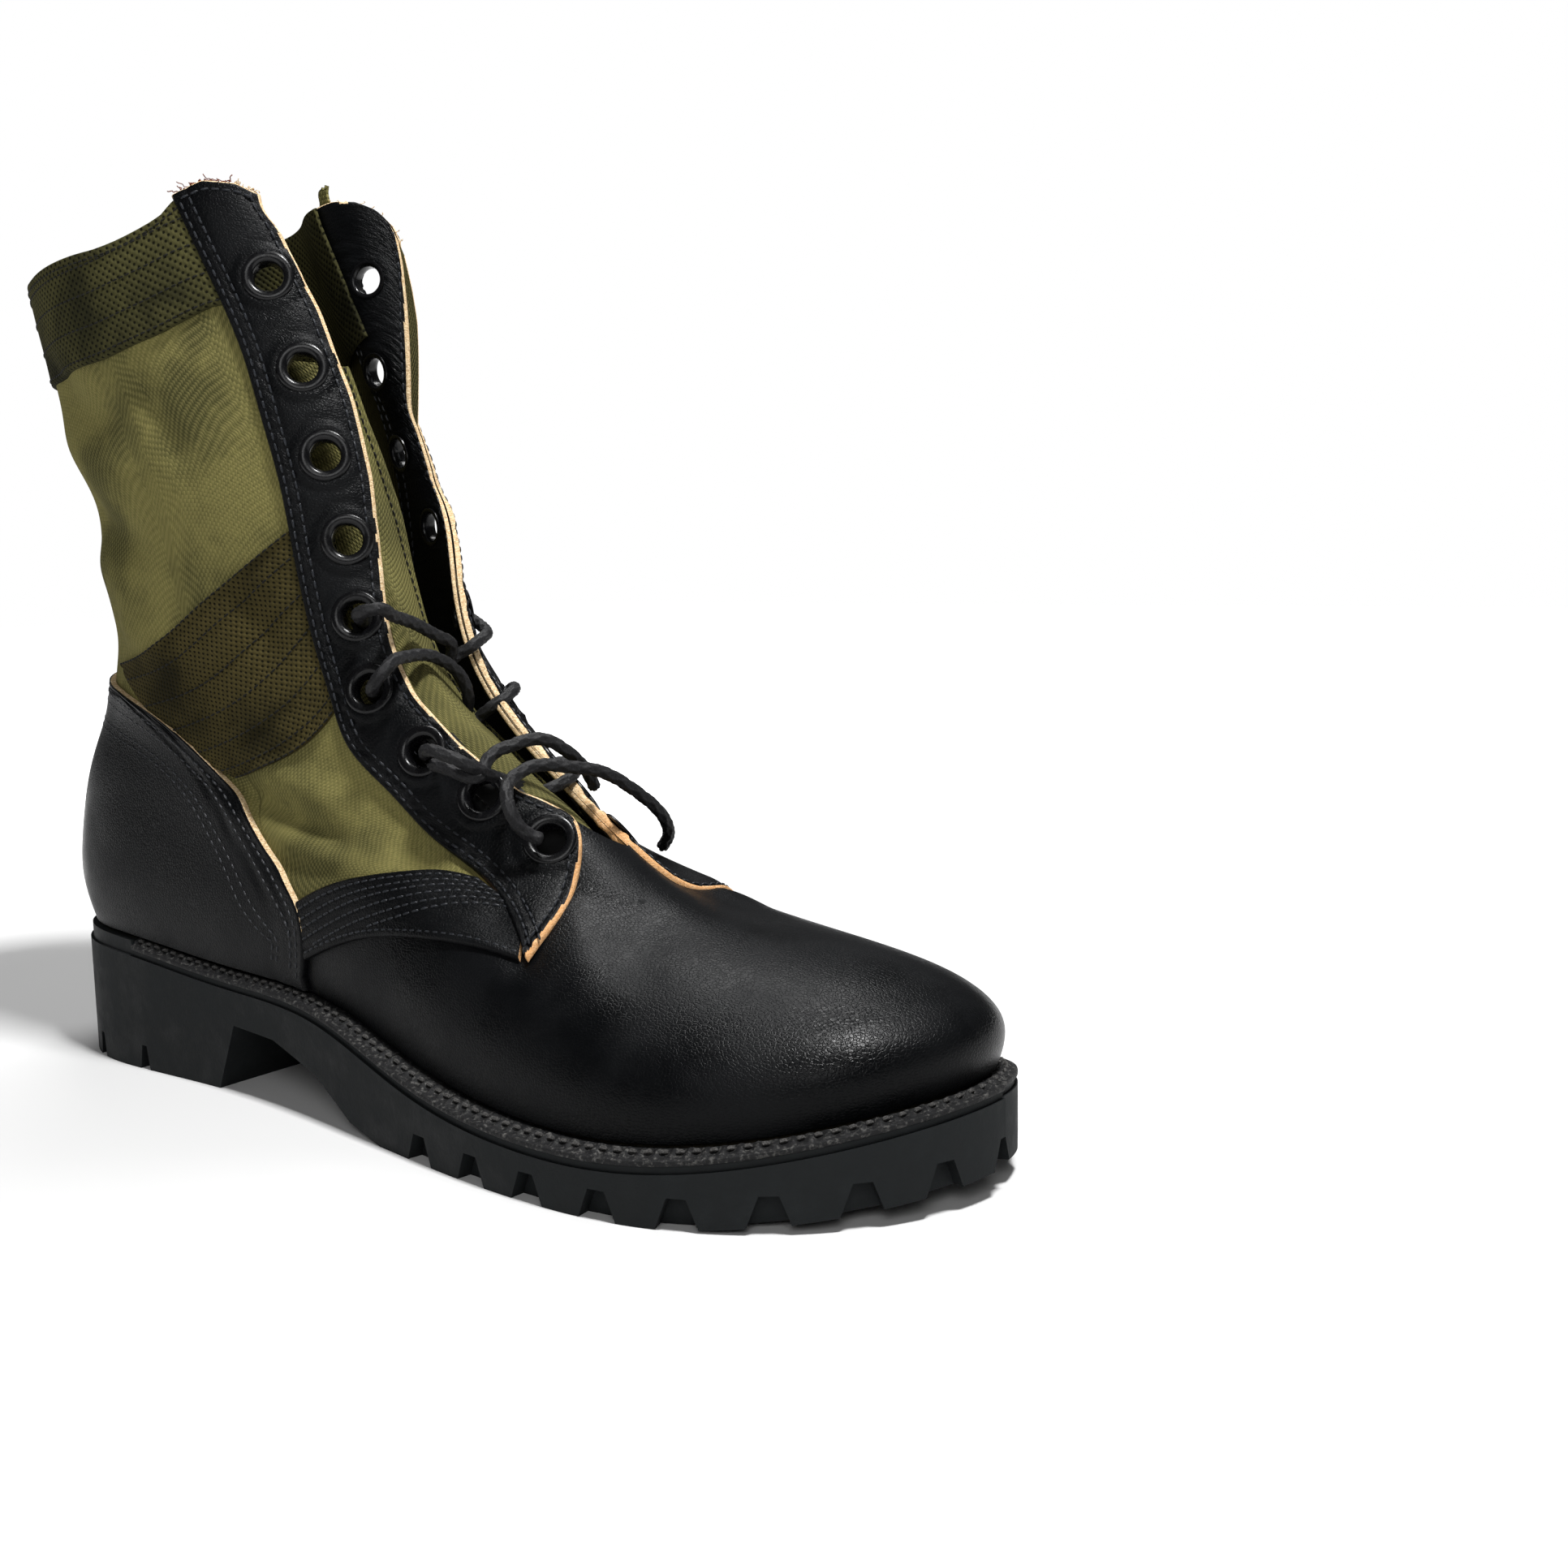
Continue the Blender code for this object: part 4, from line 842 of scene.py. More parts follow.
def shell(name, outside, inside, looks, slot, nodes=(), wall_looks=(0, 0, 0, 0), holes=(), inner_look=0,
          sharp=42, trims=(0, 0, 0, 0), zone=None):
    """A closed sheet between two grids of points. wall_looks are for its foot, right, top and left side."""
    rows, columns = outside.shape[:2]
    count = rows * columns
    uv = cloth_uv(outside).reshape(-1, 2)
    front = grid_faces(rows, columns)
    back = grid_faces(rows, columns, count)[:, ::-1]
    points = np.concatenate([outside.reshape(-1, 3), inside.reshape(-1, 3)])
    index = np.arange(count).reshape(rows, columns)
    walls = []
    for line, kind in zip((index[0], index[:, -1], index[-1, ::-1], index[::-1, 0]), wall_looks):
        faces = np.stack([line[:-1], line[:-1] + count, line[1:] + count, line[1:]], 1)
        walls.append((faces, kind))
    faces = np.concatenate([front, back] + [wall for wall, _ in walls])
    kinds = np.concatenate([np.zeros(len(front)), np.full(len(back), inner_look)]
                           + [np.full(len(wall), kind) for wall, kind in walls])
    for gap, width, kind in zip(from_edges(outside), trims, wall_looks):
        if width:
            kinds[:len(front)][(gap.reshape(-1)[front] < width).all(1)] = kind
    if zone:
        kinds = zone(points[faces].mean(1), kinds)
    gone = np.zeros(len(points), bool)
    for centre, axis, radius in holes:
        away = points - centre
        depth = away @ axis
        flat = away - depth[:, None] * axis
        reach = np.linalg.norm(flat, axis=1)
        near = (reach < radius) & (np.abs(depth) < 9)
        points[near] += flat[near] * (radius / np.maximum(reach[near], .05) - 1)[:, None]
        gone |= near
    keep = ~gone[faces].all(1)
    return piece(name, points, faces[keep], looks, slot, nodes, kinds[keep], np.concatenate([uv, uv]), sharp)


# Relief of the upper, in millimetres over its surface


def soft(x):
    return np.exp(-x**2)


def near_line(points, line):
    """Distance from each point to a line of points, and the share of the line at which it is nearest."""
    flat = points.reshape(-1, 3)
    best = np.full(len(flat), np.inf)
    share = np.zeros(len(flat))
    length = along(line)
    for k in range(len(line) - 1):
        step = line[k + 1] - line[k]
        t = np.clip((flat - line[k]) @ step / max(step @ step, 1e-9), 0, 1)
        gap = np.linalg.norm(flat - line[k] - t[:, None] * step, axis=1)
        closer = gap < best
        best[closer] = gap[closer]
        share[closer] = (length[k] + t * (length[k + 1] - length[k]))[closer]
    return best.reshape(points.shape[:-1]), share.reshape(points.shape[:-1])


# Creases: side, depth (above 0 a ridge), half-width, then the line on the side view
FOLDS = [
    (-1, -1.6, 7, [(14, 205), (32, 192), (50, 186), (66, 190)]),
    (-1, 1.3, 8, [(10, 186), (30, 177), (52, 170), (72, 172)]),
    (-1, -1.5, 6, [(20, 164), (36, 158), (54, 152), (70, 146)]),
    (-1, 1.1, 7, [(24, 148), (42, 142), (60, 134)]),
    (-1, -1.1, 5, [(60, 196), (74, 184), (84, 168)]),
    (-1, 1.0, 6, [(40, 130), (58, 124), (76, 122)]),
    (-1, -2.0, 3.6, [(84, 86), (104, 81), (124, 75), (144, 71)]),
    (-1, 1.2, 4.5, [(94, 92), (114, 87), (136, 80)]),
    (-1, -.9, 3.5, [(104, 68), (122, 64), (140, 65)]),
    (-1, -.9, 5, [(92, 140), (104, 128), (110, 116)]),
    (1, -1.4, 7, [(12, 210), (30, 200), (52, 196)]),
    (1, 1.2, 8, [(10, 186), (34, 178), (58, 176)]),
    (1, -1.4, 6, [(22, 164), (44, 156), (68, 150)]),
    (1, 1.1, 6, [(26, 140), (50, 134), (72, 130)]),
    (1, -1.3, 4.5, [(90, 86), (108, 80), (128, 74)]),
    (1, 1.0, 4.5, [(96, 72), (114, 68), (134, 68)]),
]

# Creases of the vamp, with the same columns
VAMP_FOLDS = [
    (-1, -.9, 5, [(182, 60), (196, 55), (206, 46)]),
    (-1, .7, 6, [(196, 66), (210, 56), (222, 44)]),
    (-1, -.5, 7, [(210, 66), (226, 54), (238, 42)]),
    (1, -.8, 5, [(186, 56), (200, 50), (212, 42)]),
    (1, .7, 6, [(200, 62), (214, 52), (224, 40)]),
]

# How much deeper the creases are than the tables say
FOLD_DEPTH = 1.4


def fold_lines(table):
    made = []
    for side, depth, width, points in table:
        line = line_on(points, side, 14)
        made.append((depth * FOLD_DEPTH, width, surface(line[:, 0], line[:, 1])))
    return made


SHAFT_FOLDS = fold_lines(FOLDS)
FOOT_FOLDS = fold_lines(VAMP_FOLDS)


def relief(points, lines):
    """Height of soft troughs and ridges that fade out at their ends."""
    height = np.zeros(points.shape[:-1])
    for depth, width, line in lines:
        gap, share = near_line(points, line)
        fade = smoothstep(share / .3) * smoothstep((1 - share) / .3)
        height += depth * soft(gap / width) * (.15 + .85 * fade)
    return height


def dressed(at, height, lines=None):
    """Points at a height over the upper's soft surface."""
    lines = SHAFT_FOLDS if lines is None else lines
    base = surface(at[..., 0], at[..., 1])
    return raised(at, height + relief(base, lines))


def run_along(line, shares):
    """A line of (a, t) smoothed and read at shares of its length."""
    at = np.asarray(line, float)
    fine = spline(along(surface(at[:, 0], at[:, 1])), at, np.linspace(0, 1, 241))
    length = along(surface(fine[:, 0], fine[:, 1]))
    return np.stack([np.interp(shares, length, fine[:, k]) for k in range(2)], 1)


def placed_line(points, side, shares):
    return run_along([place(x, z, side) for x, z in points], shares)


RIM_STEPS = (0, .12, .3, .6, 1.0, 1.6)


def shares(length, step):
    """Shares of a length with steps crowded at both ends, where edges round off."""
    rim = np.array(RIM_STEPS)
    inner = np.linspace(RIM_STEPS[-1], length - RIM_STEPS[-1], max(int((length - 2 * RIM_STEPS[-1]) / step), 2))
    return np.r_[rim[:-1], inner, (length - rim[:-1])[::-1]] / length


def rounded(points, thick, radius, sides=(1, 1, 1, 1)):
    """Height of a sheet's top over its underside: its full thickness, rounded off at the chosen sides."""
    height = np.full(points.shape[:2], float(thick))
    for gap, wanted in zip(from_edges(points), sides):
        if wanted:
            lean = np.clip(1 - gap / radius, 0, 1)
            height = np.minimum(height, thick - radius * (1 - np.sqrt(1 - lean**2)))
    return height


def line_length(line):
    return np.linalg.norm(np.diff(line, axis=0), axis=1).sum()


def beside(line, gap):
    """A line of (a, t) moved over the surface by a gap in millimetres, to the left of its run seen from
    outside."""
    line = np.asarray(line, float)
    a, t = line.T
    points = surface(a, t)
    run = np.gradient(points, axis=0)
    run /= np.linalg.norm(run, axis=1, keepdims=True)
    aside = np.cross(normal(a, t), run) * gap
    step = 1e-3
    slope_a = (surface(a + step, t) - surface(a - step, t)) / (2 * step)
    low, high = np.maximum(t - step, 0), np.minimum(t + step, 1)
    slope_t = (surface(a, high) - surface(a, low)) / (high - low)[:, None]
    aa, tt, at = (slope_a**2).sum(1), (slope_t**2).sum(1), (slope_a * slope_t).sum(1)
    pa, pt = (slope_a * aside).sum(1), (slope_t * aside).sum(1)
    base = aa * tt - at**2
    return line + np.stack([(tt * pa - at * pt) / base, (aa * pt - at * pa) / base], 1)


# Sewing

# A stitch's rings: place along it, height and width
STITCH_RINGS = np.array([(-.5, -.16, .25), (-.42, .02, .8), (-.2, .16, 1),
                         (.2, .16, 1), (.42, .02, .8), (.5, -.16, .25)])
STITCH_SIDES = 6


def stitches(name, runs, look, slot="cord", pitch=2.9, thick=.62, cover=.80, slant=0.0):
    """Rows of single stitches. Each run is a line of points and the surface's normals along it."""
    angle = np.linspace(0, 2 * np.pi, STITCH_SIDES, endpoint=False)
    along_axis, rise, swell = STITCH_RINGS.T
    starts, ends, ups = [], [], []
    for points, up in runs:
        steps = np.linalg.norm(np.diff(points, axis=0), axis=1)
        length = np.r_[0, np.cumsum(steps)]
        count = max(int(length[-1] / pitch), 1)
        at = np.arange(count) * length[-1] / count
        here, there = at + pitch * (1 - cover) / 2, at + pitch * (1 + cover) / 2
        for found, where in ((starts, here), (ends, there), (ups, (here + there) / 2)):
            source = up if found is ups else points
            found.append(np.stack([np.interp(where, length, source[:, k]) for k in range(3)], 1))
    start, end, up = (np.concatenate(found) for found in (starts, ends, ups))
    run = end - start
    size = np.linalg.norm(run, axis=1, keepdims=True)
    run /= size
    up -= (up * run).sum(1, keepdims=True) * run
    up /= np.linalg.norm(up, axis=1, keepdims=True)
    aside = np.cross(up, run)
    run, aside = run + slant * aside, aside - slant * run
    radius = thick / 2
    cross = radius * swell[:, None] * np.cos(angle)
    height = radius * swell[:, None] * np.sin(angle) + rise[:, None]
    local = np.stack(np.broadcast_arrays(along_axis[:, None], cross, height), -1)
    points = ((start + end) / 2)[:, None, None]
    points = points + local[None, ..., :1] * (run * size)[:, None, None]
    points = points + local[None, ..., 1:2] * aside[:, None, None] + local[None, ..., 2:] * up[:, None, None]
    rings = len(STITCH_RINGS)
    one = grid_faces(rings, STITCH_SIDES, ring=True)
    faces = (one[None] + (np.arange(len(start)) * rings * STITCH_SIDES)[:, None, None]).reshape(-1, 4)
    return piece(name, points.reshape(-1, 3), faces, [look], slot, turn=False)


def run_on(line, height, lines=None):
    """Points and normals along a line of (a, t) at a height over the soft surface."""
    line = np.asarray(line, float)
    points = surface(line[:, 0], line[:, 1])
    fine = max(int(line_length(points) / 1.2), 4)
    share = np.linspace(0, 1, fine)
    at = np.stack([np.interp(share, along(points), line[:, k]) for k in range(2)], 1)
    return dressed(at, height, lines), normal(at[:, 0], at[:, 1])


# The sole


def fine_plate(name, inset, low, high, look, slot, nodes, stations=(), count=150, across=9):
    """A closed plate inside the sole's outline between two height functions of x."""
    back, tip = edge_ends(inset)
    even = back + (tip - back) * (1 - np.cos(np.linspace(.022, np.pi - .022, count))) / 2
    x = np.unique(np.r_[even, list(stations)])
    outer, inner = edge_y(x, inset, -1), edge_y(x, inset, 1)
    share = np.linspace(0, 1, across)[:, None]
    y = outer * (1 - share) + inner * share
    xs = np.broadcast_to(x, y.shape)
    top = np.stack([xs, y, np.broadcast_to(high(x), y.shape)], -1)
    foot = np.stack([xs, y, np.broadcast_to(low(x), y.shape)], -1)
    return shell(name, top, foot, [look], slot, nodes, sharp=32)


def prism(points, faces, corners, low, high, top_corners=None):
    """Adds a closed block between z low and high over a plan outline, with another outline at its top if
    given."""
    top_corners = corners if top_corners is None else top_corners
    start, count = len(points), len(corners)
    points += [(x, y, low) for x, y in corners] + [(x, y, high) for x, y in top_corners]
    faces.append([start + k for k in range(count)][::-1])
    faces.append([start + count + k for k in range(count)])
    for k in range(count):
        n = (k + 1) % count
        faces.append([start + k, start + n, start + count + n, start + count + k])


def notch(points, faces, centre, inward, depth, foot_width, top_width, height):
    """A groove from the sole's edge inwards, wider at the ground."""
    tangent = np.array((-inward[1], inward[0]))
    start, end = centre - inward * 4, centre + inward * depth
    low, high = ground(centre[0]) - 3, ground(centre[0]) + height
    outlines = []
    for width in (foot_width * .5 + 1.2, top_width * .5):
        side = tangent * width
        outlines.append([start - side, end - side, end + side, start + side])
    prism(points, faces, outlines[0], low, high, outlines[1])


def cut(obj, name, points, faces):
    """Takes closed blocks away from a piece."""
    mesh = bpy.data.meshes.new(name)
    mesh.from_pydata(to_frame(points).tolist(), [], faces)
    face_outwards(mesh)
    tool = bpy.data.objects.new(name, mesh)
    bpy.context.scene.collection.objects.link(tool)
    modifier = obj.modifiers.new(name, "BOOLEAN")
    modifier.operation = "DIFFERENCE"
    modifier.object = tool
    modifier.solver = "EXACT"
    graph = bpy.context.evaluated_depsgraph_get()
    made = bpy.data.meshes.new_from_object(obj.evaluated_get(graph))
    obj.modifiers.clear()
    obj.data = made
    bpy.data.objects.remove(tool)


# Where the outsole is cut: x of the heel's side notches, start and end x of the long channels, and x and
# slant of the grooves across
HEEL_NOTCHES = (26, 50)
SIDE_NOTCHES = 8
CHANNEL_SPANS = ((26, 66), (158, 268))
CROSS_GROOVES = ((42, 0), (172, 5), (196, -5), (220, 5), (244, -5))
SOLE_BEVEL = .55


def make_outsole():
    sole = fine_plate("outsole_rubber", 0, underside, lambda x: sole_line(x) - EDGE_STACK, LOOKS["rubber"],
                      "rubber", ["outsole"], [HEEL_BREAST, *ARCH_X, 175, 190, SPRING_START, 262])
    points, faces = [], []
    tip, _ = outline_at(0, 1)
    notch(points, faces, tip, np.array((-1, 0)), TIP_NOTCH, NOTCH_FOOT, NOTCH_TOP, NOTCH_HEIGHT)
    for side in (-1, 1):
        for k in range(1, SIDE_NOTCHES + 1):
            centre, inward = outline_at(NOTCH_PITCH * k, side)
            depth = min(LUG_DEPTH, TIP_NOTCH + 3 * k)
            notch(points, faces, centre, inward, depth, NOTCH_FOOT, NOTCH_TOP, NOTCH_HEIGHT)
        for x in HEEL_NOTCHES:
            centre = np.array((x, edge_y(x, 0, side)))
            notch(points, faces, centre, np.array((0, -side)), LUG_DEPTH, 3, 2, NOTCH_HEIGHT)
    cut(sole, "notches", points, faces)
    points, faces = [], []
    for start, end in CHANNEL_SPANS:
        for side in (-1, 1):
            x = np.linspace(start, end, 31)
            near = edge_y(x, LUG_DEPTH - 1, side)
            far = edge_y(x, LUG_DEPTH - 1 + CHANNEL, side)
            prism(points, faces, [*zip(x, near), *zip(x[::-1], far[::-1])], -3, CHANNEL_DEPTH)
    cut(sole, "channels", points, faces)
    points, faces = [], []
    for x, lean in CROSS_GROOVES:
        outer = edge_y(x, LUG_DEPTH + 1, -1)
        inner = edge_y(x, LUG_DEPTH + 1, 1)
        half = CHANNEL / 2
        rim = [(x - half - lean, outer), (x + half - lean, outer),
               (x + half + lean, inner), (x - half + lean, inner)]
        prism(points, faces, rim, -3, CHANNEL_DEPTH - .5)
    cut(sole, "grooves", points, faces)
    sole.data.shade_smooth()
    sole.data.set_sharp_from_angle(angle=np.radians(28))
    bevel = sole.modifiers.new("rounded edges", "BEVEL")
    bevel.width = SOLE_BEVEL * MM
    bevel.segments = 2
    bevel.limit_method = "ANGLE"
    bevel.angle_limit = np.radians(35)
    bevel.use_clamp_overlap = True


def make_midsole():
    def top(x):
        thick = np.where(x < MIDSOLE_STEP, EDGE_STACK - 2 * CLEAR, MIDSOLE)
        return sole_line(x) - EDGE_STACK + CLEAR * .2 + thick

    fine_plate("midsole_rubber", MIDSOLE_INSET, lambda x: sole_line(x) - EDGE_STACK - .1, top, LOOKS["rubber"],
               "rubber", ["midsole"], [MIDSOLE_STEP - .5, MIDSOLE_STEP + .5])


WELT_PITCH = 3.7
WELT_STEPS = 10
RIB_HIGH = .95
RIB_LOW = .55

# The strip's section: how far from the upper's foot, as a share of the ledge, its height over its
# underside, and how much of the ribs it carries
WELT_SECTION = np.array([
    (-.55, 2.0, 0),
    (.02, 2.9, 0),
    (.12, 3.2, .3),
    (.22, 3.1, .9),
    (.36, 2.9, 1),
    (.52, 2.6, 1),
    (.66, 2.3, .9),
    (.74, 1.9, .25),
    (.80, 1.7, 0),
    (.92, 1.6, 0),
    (.985, 1.35, 0),
    (1.0, .9, 0),
    (1.0, .2, 0),
    (.96, -.15, 0),
    (-.55, -.15, 0),
])


def make_welt():
    """The strip that the upper is sewn to, ribbed between its stitches, with a smooth outer lip."""
    first = MIDSOLE_STEP + .8
    start = place(first, sole_line(first), -1)[0]
    end = place(first, sole_line(first), 1)[0] + 1
    a = np.linspace(start, end, 401)
    length = along(surface(a, 0)) * line_length(surface(a, 0))
    a = np.interp(np.arange(0, length[-1], WELT_PITCH / WELT_STEPS), length, a)
    phase = np.arange(len(a)) / WELT_STEPS
    rng = np.random.default_rng(4)
    rib_number = np.floor(phase + .5).astype(int)
    uneven = rng.uniform(.7, 1.15, rib_number.max() + 1)[rib_number]
    ribs = (np.abs(np.cos(np.pi * phase))**3) * uneven
    edge = ledge(a)
    rows = []
    for share, height, ribbed in WELT_SECTION:
        out = np.where(share < 0, share * 5.0, share * edge)
        line = plan_line(a, out)
        z = sole_line(line[:, 0]) + MIDSOLE - EDGE_STACK + CLEAR
        z = z + height * .78 + ribbed * (RIB_HIGH * ribs - RIB_LOW)
        rows.append(np.c_[line, z])
    grid = np.array(rows)
    points = grid.reshape(-1, 3)
    columns = len(a)
    faces = grid_faces(len(rows), columns)
    first = np.arange(len(rows) * columns).reshape(len(rows), columns)
    closing = np.stack([first[-1, :-1], first[-1, 1:], first[0, 1:], first[0, :-1]], 1)
    piece("welt_ribs", points, np.concatenate([faces, closing]), [LOOKS["welt"]], "welt", ["welt"], sharp=50)
    valley = np.arange(WELT_STEPS // 2, len(a) - 6, WELT_STEPS)
    middle = (grid[4] + grid[5]) / 2
    runs = []
    for k in valley:
        line = middle[k - 3:k + 4].copy()
        line[:, 2] += .25
        runs.append((line, np.broadcast_to((0, 0, 1.0), line.shape)))
    stitches("welt_stitches", runs, LOOKS["grey thread"], "welt", pitch=2.2, thick=1.0, cover=.95, slant=.3)


def make_insole():
    a = np.linspace(.008, .492, 90)
    inset = np.full_like(a, -WALL - .2)
    outer, inner = plan_line(a, inset), plan_line(-a, inset)
    across = np.linspace(0, 1, 31)[:, None, None]
    plan = outer * (1 - across) + inner * across
    z = sole_line(plan[..., 0])
    dish = 1.4 * np.abs(2 * across[..., 0] - 1)**4
    top = np.concatenate([plan, (z + INSOLE_THICK + dish)[..., None]], -1)
    low = np.where(plan[..., 0] < HEEL_FILL, 0.0, MIDSOLE - EDGE_STACK + 2 * CLEAR)
    foot = np.concatenate([plan, (z + low)[..., None]], -1)
    shell("insole_board", top, foot, [LOOKS["board"]], "board", ["insole"])


# The upper


# Under this height and in front of this x the shaft shows as leather
SADDLE_LOW = 54
COUNTER_SPAN = 60

# How far the sewn pieces start over the upper
SEWN_AT = .02


def eyelet_places(side):
    return [(row[1], row[0]) if side < 0 else (row[3], row[2]) for row in EYELETS]


def holes_for(side, rows, radius):
    """Centre, axis and radius of the eyelet holes in rows of one side, on the soft surface."""
    found = []
    for k in rows:
        a, t = eyelet_places(side)[k]
        centre = dressed(np.array([(a, t)]), 0)[0]
        found.append((centre, normal(np.array(a), np.array(t)), radius))
    return found


# The wall's thickness at the throat's edge, and how far from the edge it grows to its full one
WALL_AT_EDGE = .45
THIN_TO = 21
FULL_FROM = 36

# Radius of the holes behind the eyelets
HOLE = 4.15


def throat_tree():
    """The whole edge of the throat, for finding how far a point lies from it."""
    found = []
    for side in (-1, 1):
        height = np.linspace(SEAM[side][-1][1] - .01, 1, 400)
        found.append(surface(np.array([throat_edge(h, side) for h in height]), height))
    rim = run_along(throat_rim(), np.linspace(0, 1, 400))
    found.append(surface(rim[:, 0], rim[:, 1]))
    points = np.concatenate(found)
    tree = KDTree(len(points))
    for k, point in enumerate(points):
        tree.insert(point, k)
    tree.balance()
    return tree


def from_throat(points):
    flat = points.reshape(-1, 3)
    return np.array([THROAT_TREE.find(point)[2] for point in flat]).reshape(points.shape[:-1])


def wall_depth(points):
    """Depth of the wall's inside: thin at the throat's edge, full behind it."""
    grown = smoothstep((from_throat(points) - THIN_TO) / (FULL_FROM - THIN_TO))
    return WALL_AT_EDGE + (WALL - WALL_AT_EDGE) * grown


def make_vamp():
    """The hollow leather front of the foot."""
    rows, columns = 110, 190
    outer = spaced(SEAM[-1], rows, -.02)
    inner = spaced([(a + 1, t) for a, t in SEAM[1]], rows, .02)
    rim = np.array(throat_rim())
    top = run_along(rim, np.linspace(0, 1, columns))
    top[0], top[-1] = outer[-1], inner[-1]
    foot = np.stack([np.linspace(outer[0, 0], inner[0, 0], columns), np.zeros(columns)], 1)
    at = patch(foot, top, outer, inner)
    base = surface(at[..., 0], at[..., 1])
    outside = dressed(at, 0, FOOT_FOLDS)
    inside = raised(at, -wall_depth(base))
    holes = holes_for(-1, (7, 8), HOLE) + holes_for(1, (7, 8), HOLE)
    looks = [LOOKS["vamp"], LOOKS["raw edge"], LOOKS["lining"]]
    shell("vamp_leather", outside, inside, looks, "leather", ["vamp"], (2, 0, 1, 0), holes, inner_look=2)


def under_saddle(centres, kinds):
    """Leather below the saddles, where the vamp runs on under the counter."""
    low = (centres[:, 2] < SADDLE_LOW) & (centres[:, 0] > COUNTER_SPAN) & (kinds == 0)
    return np.where(low, 3, kinds)


def make_shaft():
    """The canvas shaft and heel."""
    seam_steps, heel_steps, rows = 70, 100, 170
    outer = spaced(SEAM[-1], seam_steps, .02)[::-1]
    inner = spaced(SEAM[1], seam_steps, -.02)
    heel = np.linspace(outer[-1], inner[0], heel_steps)[1:-1]
    foot = np.concatenate([outer, heel, inner])
    sides = []
    for side, start in ((-1, foot[0]), (1, foot[-1])):
        height = np.r_[start[1], np.linspace(start[1] + .03, 1, 16)]
        rim = np.stack([throat_edge(height, side), height], 1)
        rim[0] = start
        top = collar(rim[-1, 0])
        rim[1:, 1] = start[1] + (rim[1:, 1] - start[1]) * (top - start[1]) / (1 - start[1])
        sides.append(spaced(rim, rows))
    share = along(surface(foot[:, 0], foot[:, 1]))
    a = sides[0][-1, 0] * (1 - share) + sides[1][-1, 0] * share
    top = np.stack([a, [collar(x) for x in a]], 1)
    at = patch(foot, top, *sides, share)
    base = surface(at[..., 0], at[..., 1])
    outside = dressed(at, 0)
    inside = dressed(at, -wall_depth(base))
    holes = holes_for(-1, range(7), HOLE) + holes_for(1, range(7), HOLE)
    # The canvas's inside is a darker copy of the canvas: painted shade
    looks = [LOOKS["canvas"], LOOKS["canvas inside painted shade"], LOOKS["raw edge"], LOOKS["vamp"]]
    shell("shaft_canvas", outside, inside, looks, "canvas", ["shaft"], (1, 2, 1, 2), holes, inner_look=1,
          zone=under_saddle)


def facing_lines(side):
    """The facing's back and front edges from the top down to its tip, as (a, t)."""
    back = [place(x, z, side) for x, z in FACING_BACK[side]]
    back[0] = (back[0][0], collar(back[0][0]))
    t = np.r_[np.linspace(.95, .41, 38), .385]
    front = [(float(throat_edge(h, side)), h) for h in t]
    front.insert(0, (front[0][0], collar(front[0][0])))
    return back, front + [place(x, z, side) for x, z in FACING_TIP[side]]


FACING_LENGTH = 262
FACING_WIDE = 33
FACING_HIGH = 2.2
FACING_AT_EDGE = 1.55
RAW_BEVEL = 1.2

# Stitch rows of the facing, from its folded back edge, from its raw front edge and from the collar
BACK_ROWS = (1.9, 4.6)
FRONT_ROW = 2.9
TOP_ROW = 3.0
COLLAR_BEND = .09


def to_collar(at, above):
    """Bends the first rows of a grid that runs down from the collar so that it starts along the collar."""
    knots = np.linspace(at[..., 0].min(), at[..., 0].max(), 61)
    limit = np.interp(at[0, :, 0], knots, [collar(a) for a in knots]) + above
    fade = smoothstep((at[..., 1] - at[0, :, 1].min() + COLLAR_BEND) / COLLAR_BEND)
    at[..., 1] += (limit - at[0, :, 1]) * fade
    return at


def facing_grid(side, step=1.15):
    back, front = facing_lines(side)
    rows = shares(FACING_LENGTH, step)
    columns = shares(FACING_WIDE, step)[None, :, None]
    left, right = run_along(back, rows), run_along(front, rows)
    return to_collar(left[:, None] * (1 - columns) + right[:, None] * columns, .0025)


def grooves(gap, lines, depth=.34, width=.75):
    return -depth * sum(soft((gap - at) / width) for at in lines)


